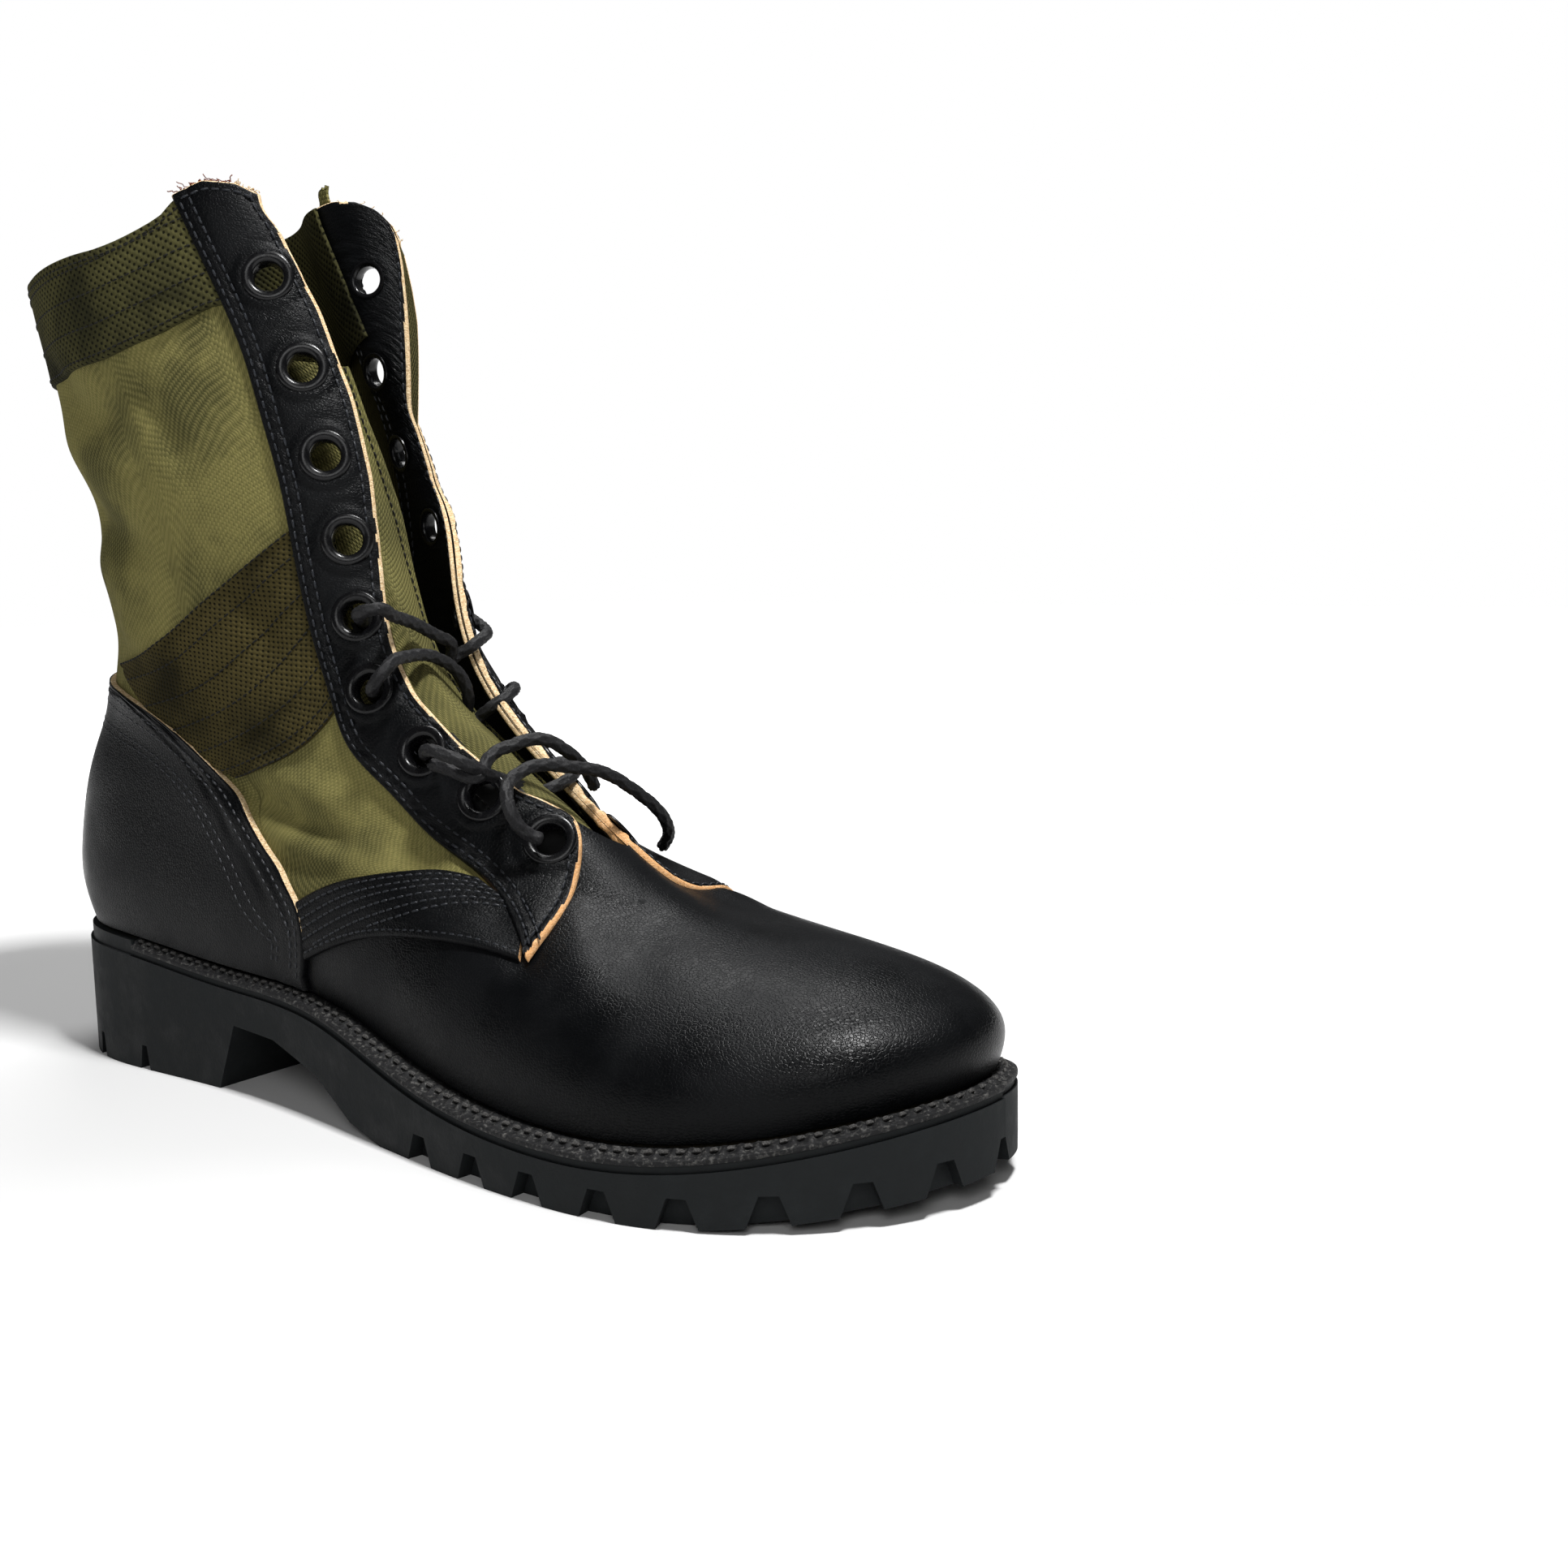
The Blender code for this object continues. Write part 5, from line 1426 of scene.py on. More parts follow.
def make_facing(side, word):
    """The strip that carries the eyelets: folded at the back, raw at the front, with rings pressed round
    the eyelets."""
    name = f"facing_leather_{word}"
    at = facing_grid(side)
    base = surface(at[..., 0], at[..., 1])
    top_gap, front_gap, _, back_gap = from_edges(base)
    # The grid runs down the boot, so its first row is the collar's and its last the tip's
    height = FACING_AT_EDGE + (FACING_HIGH - FACING_AT_EDGE) * smoothstep(front_gap / 10)
    height += rounded(base, 0, RAW_BEVEL, (1, 1, 1, 0))
    height = np.minimum(height, rounded(base, FACING_HIGH, 1.5, (0, 0, 0, 1)))
    height += grooves(back_gap, BACK_ROWS)
    height += grooves(front_gap, (FRONT_ROW,), .3) + grooves(top_gap, (TOP_ROW,), .3)
    soft_base = dressed(at, 0)
    for centre, _, _ in holes_for(side, range(9), 1):
        reach = np.linalg.norm(soft_base - centre, axis=-1)
        height += .5 * soft((reach - 7.6) / .9) - .32 * soft((reach - 9.4) / 1.4) - .35 * soft(reach / 5.8)
    pucker = .30 * np.sin(base[..., 2] * 2.1 + 3 * np.sin(base[..., 2] * .37)) * soft((back_gap - 3.2) / 1.6)
    height += pucker * smoothstep(back_gap / .8)
    outside = dressed(at, height)
    looks = [LOOKS["facing"], LOOKS["raw edge"]]
    shell(name, outside, dressed(at, SEWN_AT), looks, "leather", [f"facing_{word}"],
          (1, 1, 1, 0), holes_for(side, range(9), HOLE), sharp=55, trims=(1.5, 2.0, .9, 0))
    back, _ = facing_lines(side)
    runs = []
    even = run_along(back, np.linspace(.008, .99, 160))
    for gap in BACK_ROWS:
        runs.append(run_on(beside(even, -side * gap), FACING_HIGH - .30))
    # The front row lies in its groove on the mesh itself
    both = np.concatenate([outside, at], -1)
    on_mesh = np.array([[np.interp(FRONT_ROW, gaps[::-1], line[::-1, k]) for k in range(5)]
                        for gaps, line in zip(front_gap[4:-4], both[4:-4])])
    away = normal(on_mesh[:, 3], on_mesh[:, 4])
    runs.append((on_mesh[:, :3] + away * .16, away))
    runs.append(run_on(at[6, 6:-6], FACING_HIGH - .32))
    stitches(name + "_stitches", runs, LOOKS["thread"])


# How far the lining reaches behind the facing, as a share of its width at the collar and lower down, and
# how far down
LINING_REACH = .30
LINING_DEEP = .95
LINING_END = .84
LINING_WIDE = 43
LINING_HIGH = 1.15
LINING_ROWS = (1.8, 7.5)


def make_lining(side, word):
    """Leather on the inside of the throat, wider than the facing outside, sewn along its back edge."""
    name = f"lining_{word}"
    back, front = facing_lines(side)
    rows = shares(FACING_LENGTH * LINING_END, 1.25) * LINING_END
    columns = shares(LINING_WIDE, 1.1)
    left, right = run_along(back, rows), run_along(front, rows)
    reach = LINING_REACH + (LINING_DEEP - LINING_REACH) * smoothstep(rows / .25)
    share = (columns[None] * (1 + reach[:, None]) - reach[:, None])[..., None]
    at = left[:, None] * (1 - share) + right[:, None] * share
    at = to_collar(at, .002)
    base = surface(at[..., 0], at[..., 1])
    _, front_gap, _, back_gap = from_edges(base)
    deep = wall_depth(base) + .15
    thick = rounded(base, LINING_HIGH, .8)
    thick += grooves(back_gap, LINING_ROWS, .25, .6) * smoothstep(back_gap / .6)
    thick += grooves(front_gap, (FRONT_ROW,), .25, .6)
    wave = np.sin(base[..., 2] * 1.9 + 2.5 * np.sin(base[..., 2] * .31) + front_gap * .12)
    thick += .14 * wave * smoothstep(front_gap / 4) * smoothstep((back_gap - 9) / 4)
    for centre, _, _ in holes_for(side, range(9), 1):
        reach = np.linalg.norm(base - centre, axis=-1)
        thick += .3 * soft((reach - 6.3) / .9)
    looks = [LOOKS["lining"], LOOKS["raw edge"]]
    shell(name, dressed(at, -deep - thick), dressed(at, -deep), looks, "leather", (),
          (1, 1, 1, 0), holes_for(side, range(9), HOLE), sharp=55, trims=(1.2, 2.1, 0, 0))
    runs = []
    for column, wanted in (*((back_gap, row) for row in LINING_ROWS), (front_gap, FRONT_ROW)):
        order = slice(None) if column is back_gap else slice(None, None, -1)
        line = [[np.interp(wanted, column[r, order], at[r, order, k]) for k in range(2)]
                for r in range(4, len(rows) - 4)]
        line = smoothed(line)
        points = dressed(line, -wall_depth(surface(line[:, 0], line[:, 1])) - LINING_HIGH + .05)
        runs.append((points, -normal(line[:, 0], line[:, 1])))
    stitches(name + "_stitches", runs, LOOKS["thread"])


COUNTER_HIGH = 1.9
COUNTER_LENGTH = 250
COUNTER_ROWS = (2.9, 5.6, 11.4, 13.6)

# The counter's cut edge is dyed black below this height
CREAM_FROM = 48


def dyed_low(centres, kinds):
    return np.where(centres[:, 2] < CREAM_FROM, 0, kinds)


def make_counter():
    """The leather heel piece, sewn in two pairs of rows."""
    rows = shares(100, 1.7)
    edge = {side: placed_line(COUNTER_EDGE[::-1], side, rows) for side in (-1, 1)}
    share = shares(COUNTER_LENGTH, 1.7)
    foot_a = edge[-1][0, 0] * (1 - share) + edge[1][0, 0] * share
    foot = np.stack([foot_a, np.full_like(foot_a, .004)], 1)
    ends = edge[-1][-1], edge[1][-1]
    a = ends[0][0] * (1 - share) + ends[1][0] * share
    crest = up_to(0, [(-50, COUNTER_TOP), (50, COUNTER_TOP)])
    rise = (crest - ends[0][1]) * (1 - (a / ends[0][0])**2)
    top = np.stack([a, ends[0][1] * (1 - share) + ends[1][1] * share + rise], 1)
    left, right = edge[-1].copy(), edge[1].copy()
    left[0], right[0] = foot[0], foot[-1]
    at = patch(foot, top, left, right, share)
    base = surface(at[..., 0], at[..., 1])
    _, right_gap, top_gap, left_gap = from_edges(base)
    gap = np.minimum(np.minimum(right_gap, left_gap), top_gap)
    height = rounded(base, COUNTER_HIGH, 1.0, (0, 1, 1, 1))
    height += grooves(gap, COUNTER_ROWS, .32, .7)
    shell("counter_leather", dressed(at, height), dressed(at, SEWN_AT), [LOOKS["vamp"], LOOKS["raw edge"]],
          "leather", ["counter"], (0, 1, 1, 1), sharp=55, trims=(0, .9, .9, .9), zone=dyed_low)
    rim = np.concatenate([left, top[1:-1], right[::-1]])
    rim = run_along(rim[::3], np.linspace(0, 1, 240))
    runs = []
    for gap in COUNTER_ROWS:
        line = beside(rim, gap)
        line = line[line[:, 1] > .012]
        runs.append(run_on(smoothed(line), COUNTER_HIGH - .28))
    stitches("counter_stitches", runs, LOOKS["thread"])


def smoothed(line, times=12):
    line = np.array(line, float)
    for _ in range(times):
        line[1:-1] = .5 * line[1:-1] + .25 * (line[:-2] + line[2:])
    return line


SADDLE_HIGH = 1.75
SADDLE_LENGTH = 85
SADDLE_WIDE = 17

# Stitch rows of the saddle, from its top edge, and the one over its foot
SADDLE_ROWS = (2.4, 5.2, 7.6, 10.4, 13.2, 15.6)
FOOT_ROW = 1.8
ROW_ROOM = 2.6


def at_gap(wanted, gaps, line):
    """The (a, t) on a line at which the gap has the wanted size."""
    return [np.interp(wanted, gaps, line[:, k]) for k in range(2)]


def make_saddle(side, word):
    """The sewn band over the vamp's upper edge, between the counter and the facing."""
    name = f"saddle_leather_{word}"
    columns = shares(SADDLE_LENGTH, 1.2)
    rows = shares(SADDLE_WIDE, .9)
    top = placed_line(SADDLE_TOP[side], side, columns)
    foot = placed_line(SADDLE_FOOT[side], side, columns)
    left = placed_line([SADDLE_FOOT[side][0], SADDLE_TOP[side][0]], side, rows)
    facing_x, facing_z = FACING_BACK[side][-2]
    ends = [SADDLE_FOOT[side][-1], (facing_x + .6, facing_z + .6), SADDLE_TOP[side][-1]]
    right = placed_line(ends, side, rows)
    at = patch(foot, top, left, right, columns)
    at[:, :, 0] += .0035 * side * (1 - columns)[None]
    base = surface(at[..., 0], at[..., 1])
    foot_gap, _, top_gap, _ = from_edges(base)
    height = rounded(base, SADDLE_HIGH, .9, (1, 0, 1, 0))
    height += grooves(top_gap, SADDLE_ROWS, .34, .65) * smoothstep(foot_gap / 1.5)
    shell(name, dressed(at, height, FOOT_FOLDS), dressed(at, SEWN_AT, FOOT_FOLDS),
          [LOOKS["saddle"], LOOKS["raw edge"]], "leather", [f"saddle_{word}"], (0, 1, 0, 0), sharp=55)
    middle = range(2, len(columns) - 2)
    lines = [[at_gap(gap, top_gap[::-1, c], at[::-1, c]) for c in middle if foot_gap[-1, c] >= gap + ROW_ROOM]
             for gap in SADDLE_ROWS]
    lines.append([at_gap(FOOT_ROW, foot_gap[:, c], at[:, c]) for c in middle])
    runs = [run_on(smoothed(line), SADDLE_HIGH - .28, FOOT_FOLDS) for line in lines if len(line) > 8]
    stitches(name + "_stitches", runs, LOOKS["thread"], pitch=2.6)


WEB_HIGH = 1.25
WEB_SEAM = WEB_HIGH - .1


def web_piece(name, at, nodes, sides=(1, 1, 1, 1), look="webbing", seams=()):
    """A sheet of webbing, pressed down along its seams, which are shares of its height."""
    base = surface(at[..., 0], at[..., 1])
    height = rounded(base, WEB_HIGH, .55, sides)
    foot_gap, _, top_gap, _ = from_edges(base)
    for share in seams:
        height -= .42 * soft((foot_gap - share * (foot_gap + top_gap)) / .8)
    shell(name, dressed(at, np.maximum(height, SEWN_AT + .05)), dressed(at, SEWN_AT), [LOOKS[look]], "webbing",
          nodes, sharp=60)


# The collar's webbing: its size, its seams from its foot, the one from its top, and how far its edge roll
# hangs down
COLLAR_HIGH = 36
COLLAR_LENGTH = 250
COLLAR_SEAMS = (1.6, 9.5, 18, 25.5)
COLLAR_TOP_SEAM = 2.4
BINDING_THICK = 1.9
BINDING_DROP = .6


def make_collar_band():
    """Webbing round the collar from facing to facing, folded over the top."""
    share = shares(COLLAR_HIGH, 1.5)[:, None]
    across = shares(COLLAR_LENGTH, 2.2)[None]
    reach = []
    for side in (-1, 1):
        edge = evenly([place(x, z, side) for x, z in FACING_BACK[side][:4]], 31)[::-1]
        low = up_to(place(*FACING_BACK[side][2], side)[0], COLLAR_FOOT)
        high = collar(edge[-1, 0])
        t = low + (high - low) * share
        reach.append(np.interp(t, edge[:, 1], edge[:, 0]) - side * .008)
    a = reach[0] * (1 - across) + reach[1] * across
    knots = np.linspace(a.min() - .01, a.max() + .01, 61)
    foot = np.interp(a[0], knots, [up_to(x, COLLAR_FOOT) for x in knots])[None]
    top = np.interp(a[-1], knots, [collar(x) for x in knots])[None]
    at = np.stack([a, foot * (1 - share) + top * share], -1)
    web_piece("collar_webbing", at, ["collar_band"])
    runs = [run_on(smoothed(beside(at[0, 3:-3], -gap)), WEB_SEAM) for gap in COLLAR_SEAMS]
    runs.append(run_on(smoothed(beside(at[-1, 3:-3], COLLAR_TOP_SEAM)), WEB_SEAM))
    stitches("collar_stitches", runs, LOOKS["dark thread"], pitch=2.2, thick=.5)
    thick = rounded(surface(at[..., 0], at[..., 1]), .9, .4)
    shell("collar_webbing_inside", dressed(at, -WALL - .02 - thick), dressed(at, -WALL), [LOOKS["webbing"]],
          "webbing", sharp=60)
    line = run_along([(x, collar(x)) for x in np.linspace(a[-1, 0], a[-1, -1], 40)], np.linspace(0, 1, 200))
    centre = dressed(line, -BINDING_DROP)
    centre[:, 2] -= BINDING_DROP
    piece("collar_binding", *tube(centre, BINDING_THICK), [LOOKS["binding"]], "webbing", sharp=60, turn=False)


# The ankle's webbing: its size and its seams, as shares of its height
ANKLE_LENGTH = 80
ANKLE_WIDE = 42
ARCS = (.04, .19, .34, .49, .64, .79, .96)


def make_ankle_band(side, word):
    """Webbing that runs from the facing down to the counter, sewn in arcs."""
    name = f"ankle_webbing_{word}"
    columns = shares(ANKLE_LENGTH, 1.5)
    rows = shares(ANKLE_WIDE, 1.5)
    top = placed_line(ANKLE_TOP[side], side, columns)
    foot = placed_line(ANKLE_FOOT[side], side, columns)
    hem = [(x - .8, z - 1.2) for x, z in COUNTER_EDGE[1:4]][::-1]
    left = placed_line([ANKLE_FOOT[side][0], *hem[1:], ANKLE_TOP[side][0]], side, rows)
    facing = [p for p in FACING_BACK[side] if ANKLE_FOOT[side][-1][1] < p[1] < ANKLE_TOP[side][-1][1]][::-1]
    ends = [ANKLE_FOOT[side][-1], *[(x + 1.5, z) for x, z in facing], ANKLE_TOP[side][-1]]
    right = placed_line(ends, side, rows)
    at = patch(foot, top, left, right, columns)
    web_piece(name, at, [f"ankle_band_{word}"], (1, 0, 1, 0), look="ankle webbing", seams=ARCS)
    runs = []
    for share in ARCS:
        k = share * (len(rows) - 1)
        low, part = int(k), k - int(k)
        line = at[low] * (1 - part) + at[min(low + 1, len(rows) - 1)] * part
        runs.append(run_on(smoothed(line[2:-2], 4), WEB_SEAM))
    stitches(name + "_stitches", runs, LOOKS["dark thread"], pitch=2.3, thick=.5)


# Half-width of the back strap, round the boot, and where its seams run, as a share of it
STRAP_HALF = .034
STRAP_SEAM = .86


def make_back_strap():
    """Webbing up the back, from the counter to the collar's webbing."""
    low, high = COUNTER_TOP - 2.0, COLLAR_FOOT[0][1] + 1.5
    z = np.linspace(low, high, 70)
    middle = np.interp(z, z[::6], [up_to(0, [(-60, h), (60, h)]) for h in z[::6]])
    share = np.linspace(-1, 1, 22)
    at = np.stack(np.broadcast_arrays(STRAP_HALF * share[None, :], middle[:, None]), -1)
    web_piece("back_webbing", at, ["back_strap"], (0, 1, 0, 1))
    runs = []
    for where in (-STRAP_SEAM, STRAP_SEAM):
        line = np.stack([np.full(len(middle), STRAP_HALF * where), middle], 1)
        runs.append(run_on(line, WEB_SEAM))
    stitches("back_stitches", runs, LOOKS["dark thread"], pitch=2.3, thick=.5)


# How far round an outer eyelet the tongue is painted black as painted shade, and where its hems are sewn, as shares
# of its width
TONGUE_SHADE = 10.5
TONGUE_SEAMS = (.085, .915)
TONGUE_COLUMNS = 60


def painted_shade_behind_eyelets(centres, kinds):
    """Painted shade: the tongue is coloured black round the outer eyelets, where it shows through their holes."""
    holes = [centre for centre, _, _ in holes_for(-1, range(9), 1)]
    away = np.min([np.linalg.norm(centres - centre, axis=1) for centre in holes], 0)
    return np.where(away < TONGUE_SHADE, 1, kinds)


def make_tongue():
    """The canvas tongue, rippled and hemmed."""
    rows = np.array(TONGUE, float)
    t = np.linspace(rows[0, 0], rows[-1, 0], 150)
    left, right, under = spline(rows[:, 0], rows[:, 1:], t).T
    share = np.linspace(0, 1, TONGUE_COLUMNS)[None]
    at = np.stack(np.broadcast_arrays(left[:, None] * (1 - share) + right[:, None] * share, t[:, None]), -1)
    ripple = .45 * np.sin(t * 95)[:, None] * soft((share - .5) / .5) + .35 * np.sin(share * 17 + t[:, None] * 21)
    hem = .55 * (soft((share - .04) / .03) + soft((share - .96) / .03))
    depth = under[:, None] - .4 * ripple - hem
    # The second look is painted shade round the outer eyelets
    looks = [LOOKS["tongue"], LOOKS["dark"]]
    shell("tongue_canvas", raised(at, -depth), raised(at, -depth - TONGUE_THICK), looks, "canvas",
          ["tongue"], zone=painted_shade_behind_eyelets)
    runs = []
    for where in TONGUE_SEAMS:
        c = int(where * (TONGUE_COLUMNS - 1))
        runs.append((raised(at[:, c:c + 1], -depth[:, c:c + 1] + .12)[:, 0], normal(at[:, c, 0], at[:, c, 1])))
    stitches("tongue_stitches", runs, LOOKS["dark thread"], pitch=2.4, thick=.5)


# Eyelets and vents

# Radius and height over the upper of an eyelet's section, from its outer rim round the hole to the washer
# inside
EYELET_SECTION = [
    (6.4, 1.75), (6.8, 2.0), (6.75, 2.35), (6.3, 2.65), (5.6, 2.75), (4.9, 2.6), (4.3, 2.25), (4.0, 1.65), (3.9, .8),
    (3.9, -1.1), (4.0, -1.6), (4.4, -2.1), (5.0, -2.25), (5.5, -2.1), (5.55, -1.8), (4.8, -1.7), (4.1, -1.5),
    (4.1, 1.6),
]


def lathe(section, sides):
    """Points and faces of a closed ring turned round Z from (radius, z)."""
    angle = np.linspace(0, 2 * np.pi, sides, endpoint=False)
    radius, height = np.array(section, float).T
    points = np.stack(np.broadcast_arrays(radius[:, None] * np.cos(angle), radius[:, None] * np.sin(angle),
                                          height[:, None]), -1)
    faces = grid_faces(len(section), sides, ring=True)
    last = (len(section) - 1) * sides + np.arange(sides)
    closing = np.stack([last, np.roll(last, -1), np.roll(np.arange(sides), -1), np.arange(sides)], 1)
    return points.reshape(-1, 3), np.concatenate([faces, closing])


def standing(points, a, t):
    """Upright points moved to the soft surface, with Z along its normal."""
    up = normal(np.array(a), np.array(t))
    across = np.cross((0, 0, 1), up)
    across /= np.linalg.norm(across)
    centre = dressed(np.array([(a, t)]), 0)[0]
    return centre + points @ np.stack([across, np.cross(up, across), up])


def make_eyelets():
    section, faces = lathe(EYELET_SECTION, 48)
    for side, word in SIDES.items():
        for number, (a, t) in enumerate(eyelet_places(side), 1):
            piece(f"eyelet_ring_{word}_{number}", standing(section, a, t), faces, [LOOKS["enamel"]], "enamel",
                  [f"eyelet_{word}_{number}"], sharp=60)


# A vent's ring and one pin of its screen as (radius, z), the screen's radius, rings and sides, and its pins'
# spacing. The pins are near black, in place of the screen's holes: painted shade.
VENT_SECTION = [(5.4, .1), (5.3, .7), (4.6, 1.1), (3.9, .95), (3.7, .5), (3.7, 0)]
PIN_SECTION = [(.34, .5), (.34, .9), (.05, .95), (.05, .5)]
SCREEN_RADIUS = 3.75
SCREEN_RINGS = 9
SCREEN_SIDES = 32
PIN_ACROSS = 1.1
PIN_UP = .95
PINS_WITHIN = 3.2


def make_vents():
    for number, (x, height) in enumerate(VENTS, 1):
        a, t = place(x, sole_line(x) + height, 1)
        points, faces = lathe(VENT_SECTION, 40)
        piece(f"vent_ring_{number}", standing(points, a, t), faces, [LOOKS["enamel"]], "screen",
              [f"vent_{number}"])
        angle = np.linspace(0, 2 * np.pi, SCREEN_SIDES, endpoint=False)
        r = np.broadcast_to(np.linspace(0, SCREEN_RADIUS, SCREEN_RINGS)[:, None], (SCREEN_RINGS, SCREEN_SIDES))
        flat = np.stack([r * np.cos(angle), r * np.sin(angle), .55 + .25 * (1 - (r / SCREEN_RADIUS)**2)], -1)
        piece(f"vent_disc_{number}", standing(flat.reshape(-1, 3), a, t),
              grid_faces(SCREEN_RINGS, SCREEN_SIDES, ring=True), [LOOKS["screen"]], "screen")
        # Near-black pins in place of the screen's holes: painted shade
        pin, pin_faces = lathe(PIN_SECTION, 8)
        at = [((u + .5 * (v % 2)) * PIN_ACROSS, v * PIN_UP, 0) for u in range(-3, 4) for v in range(-3, 4)]
        at = [place_at for place_at in at if np.hypot(*place_at[:2]) <= PINS_WITHIN]
        points = np.concatenate([pin + np.array(place_at) for place_at in at])
        faces = np.concatenate([pin_faces + k * len(pin) for k in range(len(at))])
        piece(f"vent_holes_{number}", standing(points, a, t), faces, [LOOKS["dark"]], "screen")


# Loose threads

# Name, side, where they start and end along the facing's top (shares from its front), how many, length,
# thickness and look
FRAYS = [
    ("rust_threads", -1, .30, .92, 26, 3.6, .30, "rust"),
    ("cream_threads_outer", -1, .02, .30, 16, 1.6, .26, "raw edge"),
    ("cream_threads_inner", 1, .05, .80, 18, 1.8, .26, "raw edge"),
]


def top_edge(side):
    grid = facing_grid(side)
    return dressed(grid[0], .9)[::-1]


TAB_HIGH = 5.5
TAB_WIDE = 4.0
TAB_THICK = .9


def make_frays():
    """Loose threads on the facings' tops, and the ragged end of a tape behind the inner one."""
    rng = np.random.default_rng(11)
    for name, side, start, end, count, size, thick, look in FRAYS:
        edge = top_edge(side)
        share = along(edge)
        points, faces = [], []
        for where in np.linspace(start, end, count) + rng.normal(0, .01, count):
            root = np.array([np.interp(where, share, edge[:, k]) for k in range(3)])
            lean = rng.normal(0, 1, 3) * (1, .7, .12) + (0, 0, .22)
            line = root + np.linspace(0, 1, 6)[:, None] * lean / np.linalg.norm(lean) * size * rng.uniform(.5, 1)
            line[1:] += rng.normal(0, .22, (5, 3))
            thread, thread_faces = tube(smooth_line(line, .4), thick * rng.uniform(.7, 1.1), 5)
            start_at = sum(map(len, points))
            faces += [[index + start_at for index in face] for face in thread_faces]
            points.append(thread)
        piece(name, np.concatenate(points), faces, [LOOKS[look]], "cord", turn=False)
    edge = top_edge(1)
    root = edge[-4]
    up = np.array((0, 0, 1.0))
    across = (edge[-14] - root) / np.linalg.norm(edge[-14] - root)
    rise = np.linspace(-3, TAB_HIGH, 12)[:, None, None]
    width = np.linspace(0, TAB_WIDE, 9)[None, :, None]
    ragged = np.where(rise == TAB_HIGH, rng.uniform(-1.2, .8, (1, 9, 1)), 0)
    sheet = root + up * (rise + ragged) + across * (width + .25 * np.sin(rise * 1.3))
    inward = np.array((0, -1.0, 0))
    shell("top_tab", sheet + inward * (TAB_THICK + .1), sheet + inward * .1, [LOOKS["tongue"]], "webbing")


# Lace


def frames(points):
    """Tangent and two cross directions along a line, without twist."""
    tangent = np.gradient(points, axis=0)
    tangent /= np.linalg.norm(tangent, axis=1, keepdims=True)
    side = np.cross(tangent[0], (0, 0, 1.0) if abs(tangent[0][2]) < .9 else (1.0, 0, 0))
    side /= np.linalg.norm(side)
    sides = [side]
    for direction in tangent[1:]:
        side = sides[-1] - (sides[-1] @ direction) * direction
        sides.append(side / np.linalg.norm(side))
    sides = np.array(sides)
    return tangent, sides, np.cross(tangent, sides)


LACE_THICK = 3.3
BRAID_SIDES = 20
BRAID_STRANDS = 5
BRAID_LAY = 6.0
BRAID_DIP = .10
BRAID_SWELL = .17
LACE_ROUND = .55


def tube(points, thick, sides=10):
    """Points and faces of a closed round strip along a line. The thickness may differ at each point and
    side."""
    _, across, up = frames(points)
    angle = np.linspace(0, 2 * np.pi, sides, endpoint=False)[None, :, None]
    ring = across[:, None] * np.cos(angle) + up[:, None] * np.sin(angle)
    radius = np.broadcast_to(thick, (len(points), sides)) / 2
    grid = points[:, None] + ring * radius[..., None]
    faces = grid_faces(len(points), sides, ring=True).tolist()
    faces.append(list(range(sides))[::-1])
    faces.append([(len(points) - 1) * sides + k for k in range(sides)])
    return grid.reshape(-1, 3), faces


def braided(name, route, node):
    """A round braided lace along a smoothed route. It returns the piece and the route's points."""
    points = smooth_line(route, .42)
    length = np.r_[0, np.cumsum(np.linalg.norm(np.diff(points, axis=0), axis=1))]
    angle = np.linspace(0, 2 * np.pi, BRAID_SIDES, endpoint=False)
    turn = 2 * np.pi * length[:, None] / BRAID_LAY
    strand = np.maximum(np.cos(BRAID_STRANDS * angle + turn), np.cos(BRAID_STRANDS * angle - turn))
    thick = LACE_THICK * (1 - BRAID_DIP + BRAID_SWELL * strand)
    taper = np.minimum(1, np.sqrt(np.clip(np.minimum(length, length[-1] - length) / LACE_ROUND, .02, 1)))
    skin, faces = tube(points, thick * taper[:, None], BRAID_SIDES)
    return piece(name, skin, faces, [LOOKS["lace"]], "cord", [node], sharp=70, turn=False), points


def free_end(name, node, route):
    """One loose end of the lace."""
    obj, points = braided(name, route, node)


# Where each crossing shows in the photograph: pixels across and down, and its place across the boot in mm
CROSSING_SEEN = [
    [(446, 768, -15), (444, 762, -24), (452, 752, -30), (466, 750, -28), (480, 756, -23), (500, 764, -14),
     (520, 773, -6), (545, 786, 3), (557, 799, 8), (557, 811, 9), (566, 806, 11), (580, 797, 13), (593, 787, 17),
     (600, 780, 24), (593, 771, 29), (580, 762, 30), (572, 757, 26)],
    [(462, 860, -16), (459, 852, -26), (466, 836, -32), (480, 819, -29), (497, 810, -21), (525, 807, -9),
     (549, 816, -1), (569, 835, 5), (577, 861, 8), (577, 888, 9), (581, 896, 9), (589, 887, 11), (600, 875, 12),
     (613, 866, 14), (627, 856, 18), (634, 847, 25), (628, 850, 28), (618, 861, 24)],
    [(528, 934, -16), (524, 928, -26), (533, 925, -32), (560, 935, -31), (588, 948, -26), (618, 961, -17),
     (648, 972, -7), (672, 974, 2), (690, 966, 7), (704, 957, 12), (710, 947, 18), (697, 939, 24), (681, 940, 21)],
]
PHOTO_MIDDLE = 966
PHOTO_FOCUS = 2 * PHOTO_MIDDLE * CAMERA_LENS / SENSOR


def seen_at(across, down, y):
    """The point at a distance across the boot that shows at a place in the photograph."""
    back = np.cross(CAMERA_RIGHT, CAMERA_UP)
    ray = CAMERA_RIGHT * (across - PHOTO_MIDDLE) - CAMERA_UP * (down - PHOTO_MIDDLE) - back * PHOTO_FOCUS
    return CAMERA_AT + ray * (y - CAMERA_AT[1]) / ray[1]


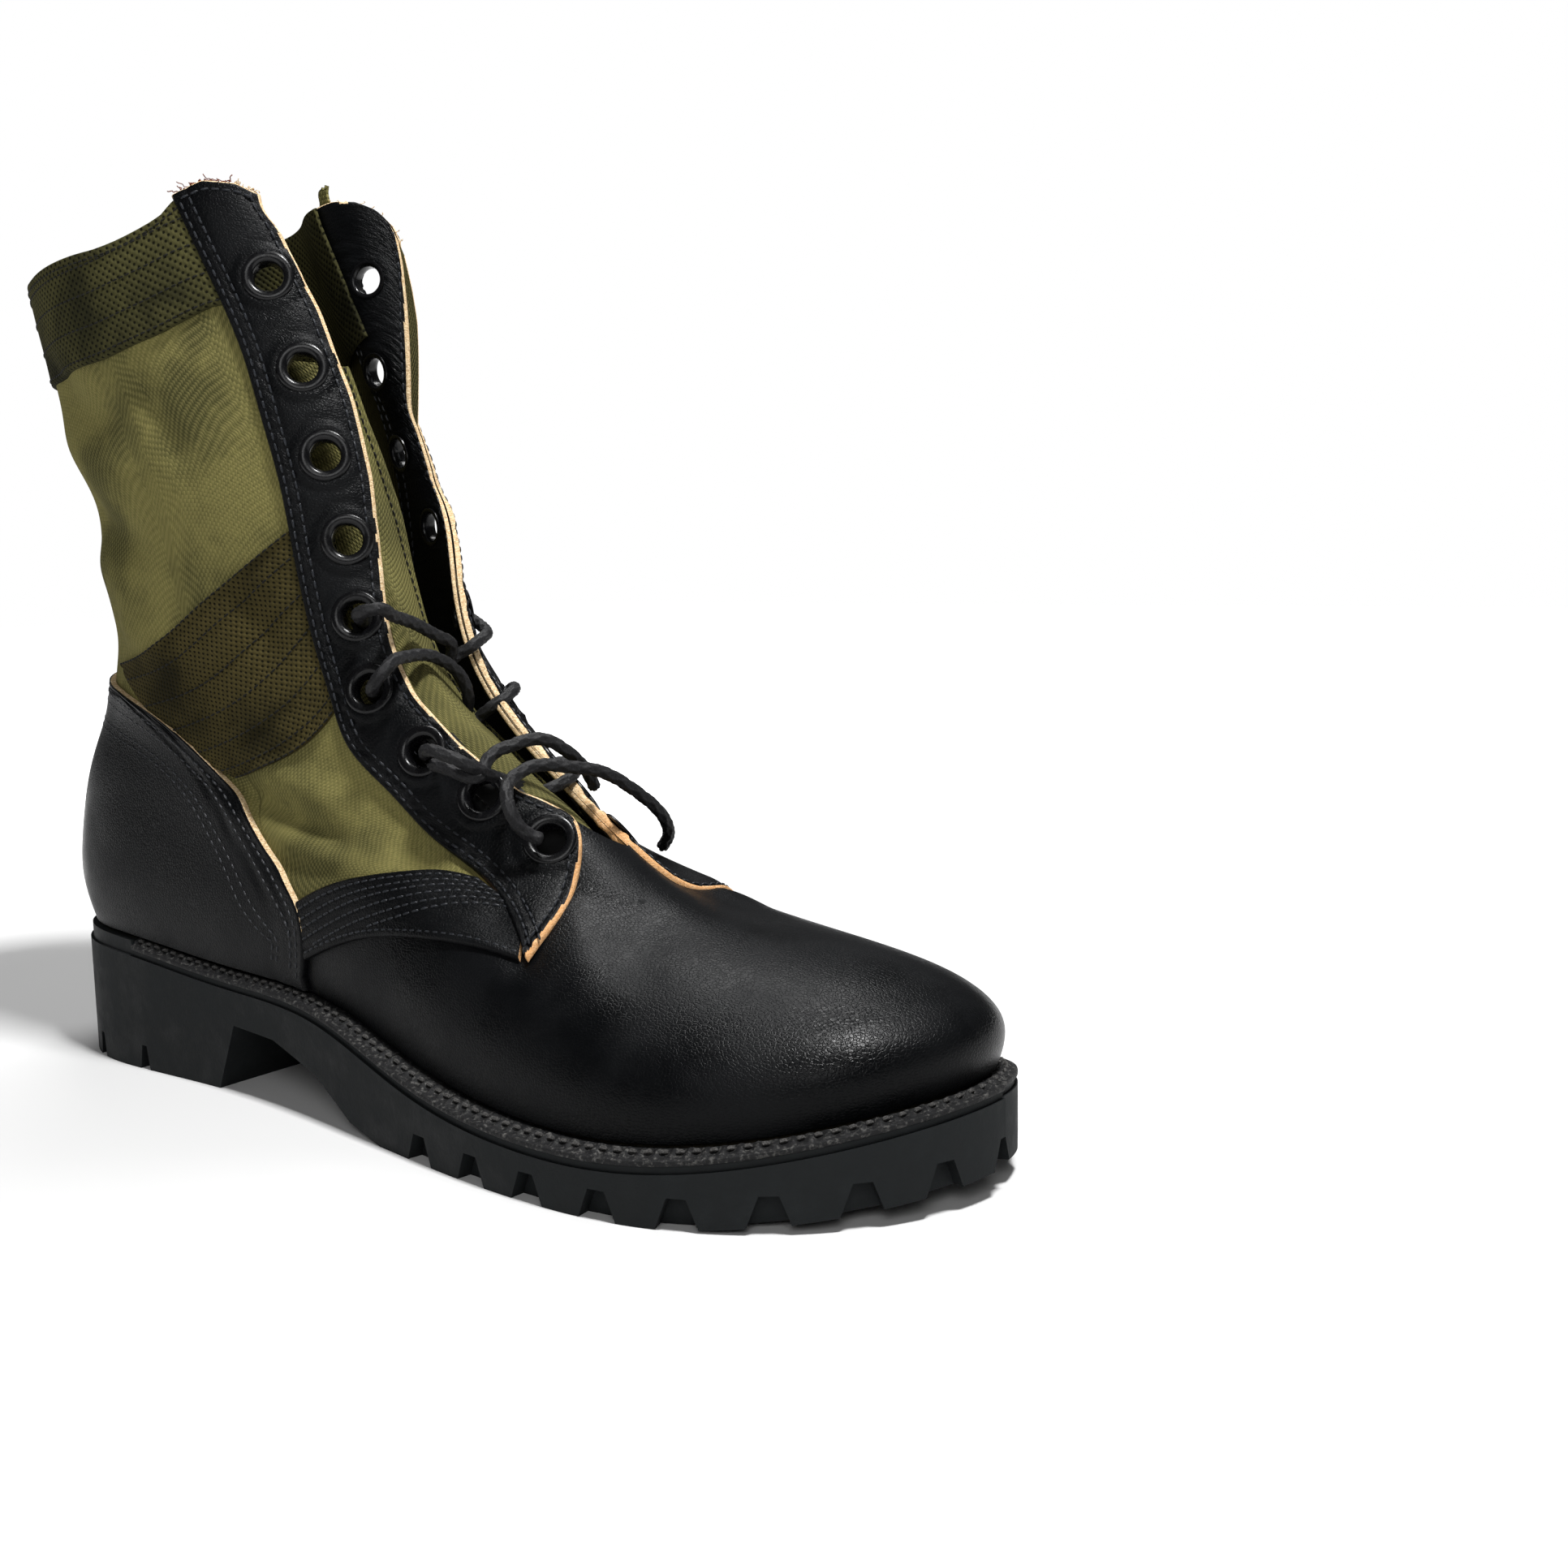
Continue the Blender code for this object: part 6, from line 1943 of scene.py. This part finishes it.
def make_crossings():
    """The lace from an outer eyelet through the throat and round the far edge into an inner eyelet."""
    for number, seen in enumerate(CROSSING_SEEN, 1):
        route = [seen_at(*place_seen) for place_seen in seen]
        braided(f"lace_crossing_{number}", route, f"lace_bar_{number}")


FLOOR_HALF = 3.0


def make_floor():
    mesh = bpy.data.meshes.new("floor")
    half = FLOOR_HALF
    corners = [(-half, -half, 0), (half, -half, 0), (half, half, 0), (-half, half, 0)]
    mesh.from_pydata(corners, [], [(0, 1, 2, 3)])
    mesh.materials.append(floor_look())
    obj = bpy.data.objects.new("floor", mesh)
    bpy.context.scene.collection.objects.link(obj)


# Name, place and aim in metres, size in metres and power in watts
LIGHTS = [
    ("front softbox", (.37, -.06, 1.15), (.08, 0, .06), .15, 21),
    ("back softbox", (-.28, .38, 1.10), (.04, 0, .06), .50, 8),
    ("fill", (.72, -.95, .80), (0, 0, .12), .6, 5.5),
]
ROOM_LIGHT = .10


def area_light(name, at, aim, size, power):
    data = bpy.data.lights.new(name, "AREA")
    data.energy = power
    data.shape = "RECTANGLE"
    data.size = size
    data.size_y = size
    obj = bpy.data.objects.new(name, data)
    obj.location = at
    obj.rotation_mode = "QUATERNION"
    obj.rotation_quaternion = (Vector(aim) - Vector(at)).to_track_quat("-Z", "Y")
    bpy.context.scene.collection.objects.link(obj)


def make_light():
    """A white room that only the camera sees in full, and the area lights of the table."""
    world = bpy.data.worlds.new("studio")
    world.use_nodes = True
    nodes, links = world.node_tree.nodes, world.node_tree.links
    seen = nodes["Background"]
    seen.inputs["Color"].default_value = (1, 1, 1, 1)
    seen.inputs["Strength"].default_value = 1.0
    lit = nodes.new("ShaderNodeBackground")
    lit.inputs["Color"].default_value = (1, 1, 1, 1)
    lit.inputs["Strength"].default_value = ROOM_LIGHT
    rays = nodes.new("ShaderNodeLightPath")
    mixed = nodes.new("ShaderNodeMixShader")
    links.new(rays.outputs["Is Camera Ray"], mixed.inputs[0])
    links.new(lit.outputs[0], mixed.inputs[1])
    links.new(seen.outputs[0], mixed.inputs[2])
    links.new(mixed.outputs[0], nodes["World Output"].inputs["Surface"])
    bpy.context.scene.world = world
    for row in LIGHTS:
        area_light(*row)
    bpy.context.scene.view_settings.view_transform = "Standard"


THROAT_TREE = throat_tree()
make_camera()
LOOKS = {
    "lace": thread_look("lace", (.0050, .0050, .0055), .6),
    "thread": thread_look("thread", (.0095, .0105, .0125), .42),
    "grey thread": thread_look("grey thread", (.030, .029, .028), .8),
    "dark thread": thread_look("dark thread", (.004, .004, .003), .8),
    "vamp": leather_look("vamp leather", .34, .8, scuffs=.5),
    "facing": leather_look("facing leather", .38, 1.0, .5),
    "saddle": leather_look("saddle leather", .40, 1.2, .5),
    "lining": leather_look("lining leather", .38, .8, 1.0),
    "raw edge": raw_look("raw edge", (.78, .64, .42), (.46, .30, .15)),
    "canvas": canvas_look("canvas", (.150, .136, .046), (.040, .040, .015)),
    # A darker copy of the canvas for the shaft's inside: painted shade
    "canvas inside painted shade": canvas_look("canvas inside painted shade", (.024, .023, .010), (.010, .010, .005)),
    "tongue": canvas_look("tongue canvas", (.132, .122, .042), (.060, .058, .022), .9, 1.3, .3, .25),
    "webbing": webbing_look("webbing", (.060, .056, .021), (.012, .012, .006)),
    "ankle webbing": webbing_look("ankle webbing", (.056, .045, .016), (.014, .012, .005), 1.0, 1.1),
    "binding": webbing_look("binding", (.016, .015, .009), (.006, .006, .005)),
    "rubber": rubber_look("rubber", (.0085, .0098, .0104)),
    "welt": welt_look(),
    "board": board_look(),
    "enamel": enamel_look(),
    "screen": metal_look("screen", (.10, .085, .05), .45),
    "rust": thread_look("rust", (.085, .022, .010), .9),
    # Near black: painted shade on the tongue round the outer eyelets and in the holes of the vents' screens
    "dark": rubber_look("dark", (.002, .002, .002)),
}
free_end("lace_loop_end", "lace_loop", LOOP_ROUTE)
free_end("lace_tail_end", "lace_tail", TAIL_ROUTE)
make_outsole()
make_midsole()
make_welt()
make_insole()
make_vamp()
make_shaft()
for SIDE, WORD in SIDES.items():
    make_facing(SIDE, WORD)
for SIDE, WORD in SIDES.items():
    make_lining(SIDE, WORD)
make_counter()
for SIDE, WORD in SIDES.items():
    make_saddle(SIDE, WORD)
make_collar_band()
for SIDE, WORD in SIDES.items():
    make_ankle_band(SIDE, WORD)
make_back_strap()
make_tongue()
make_eyelets()
make_vents()
make_crossings()
make_frays()
make_floor()
make_light()
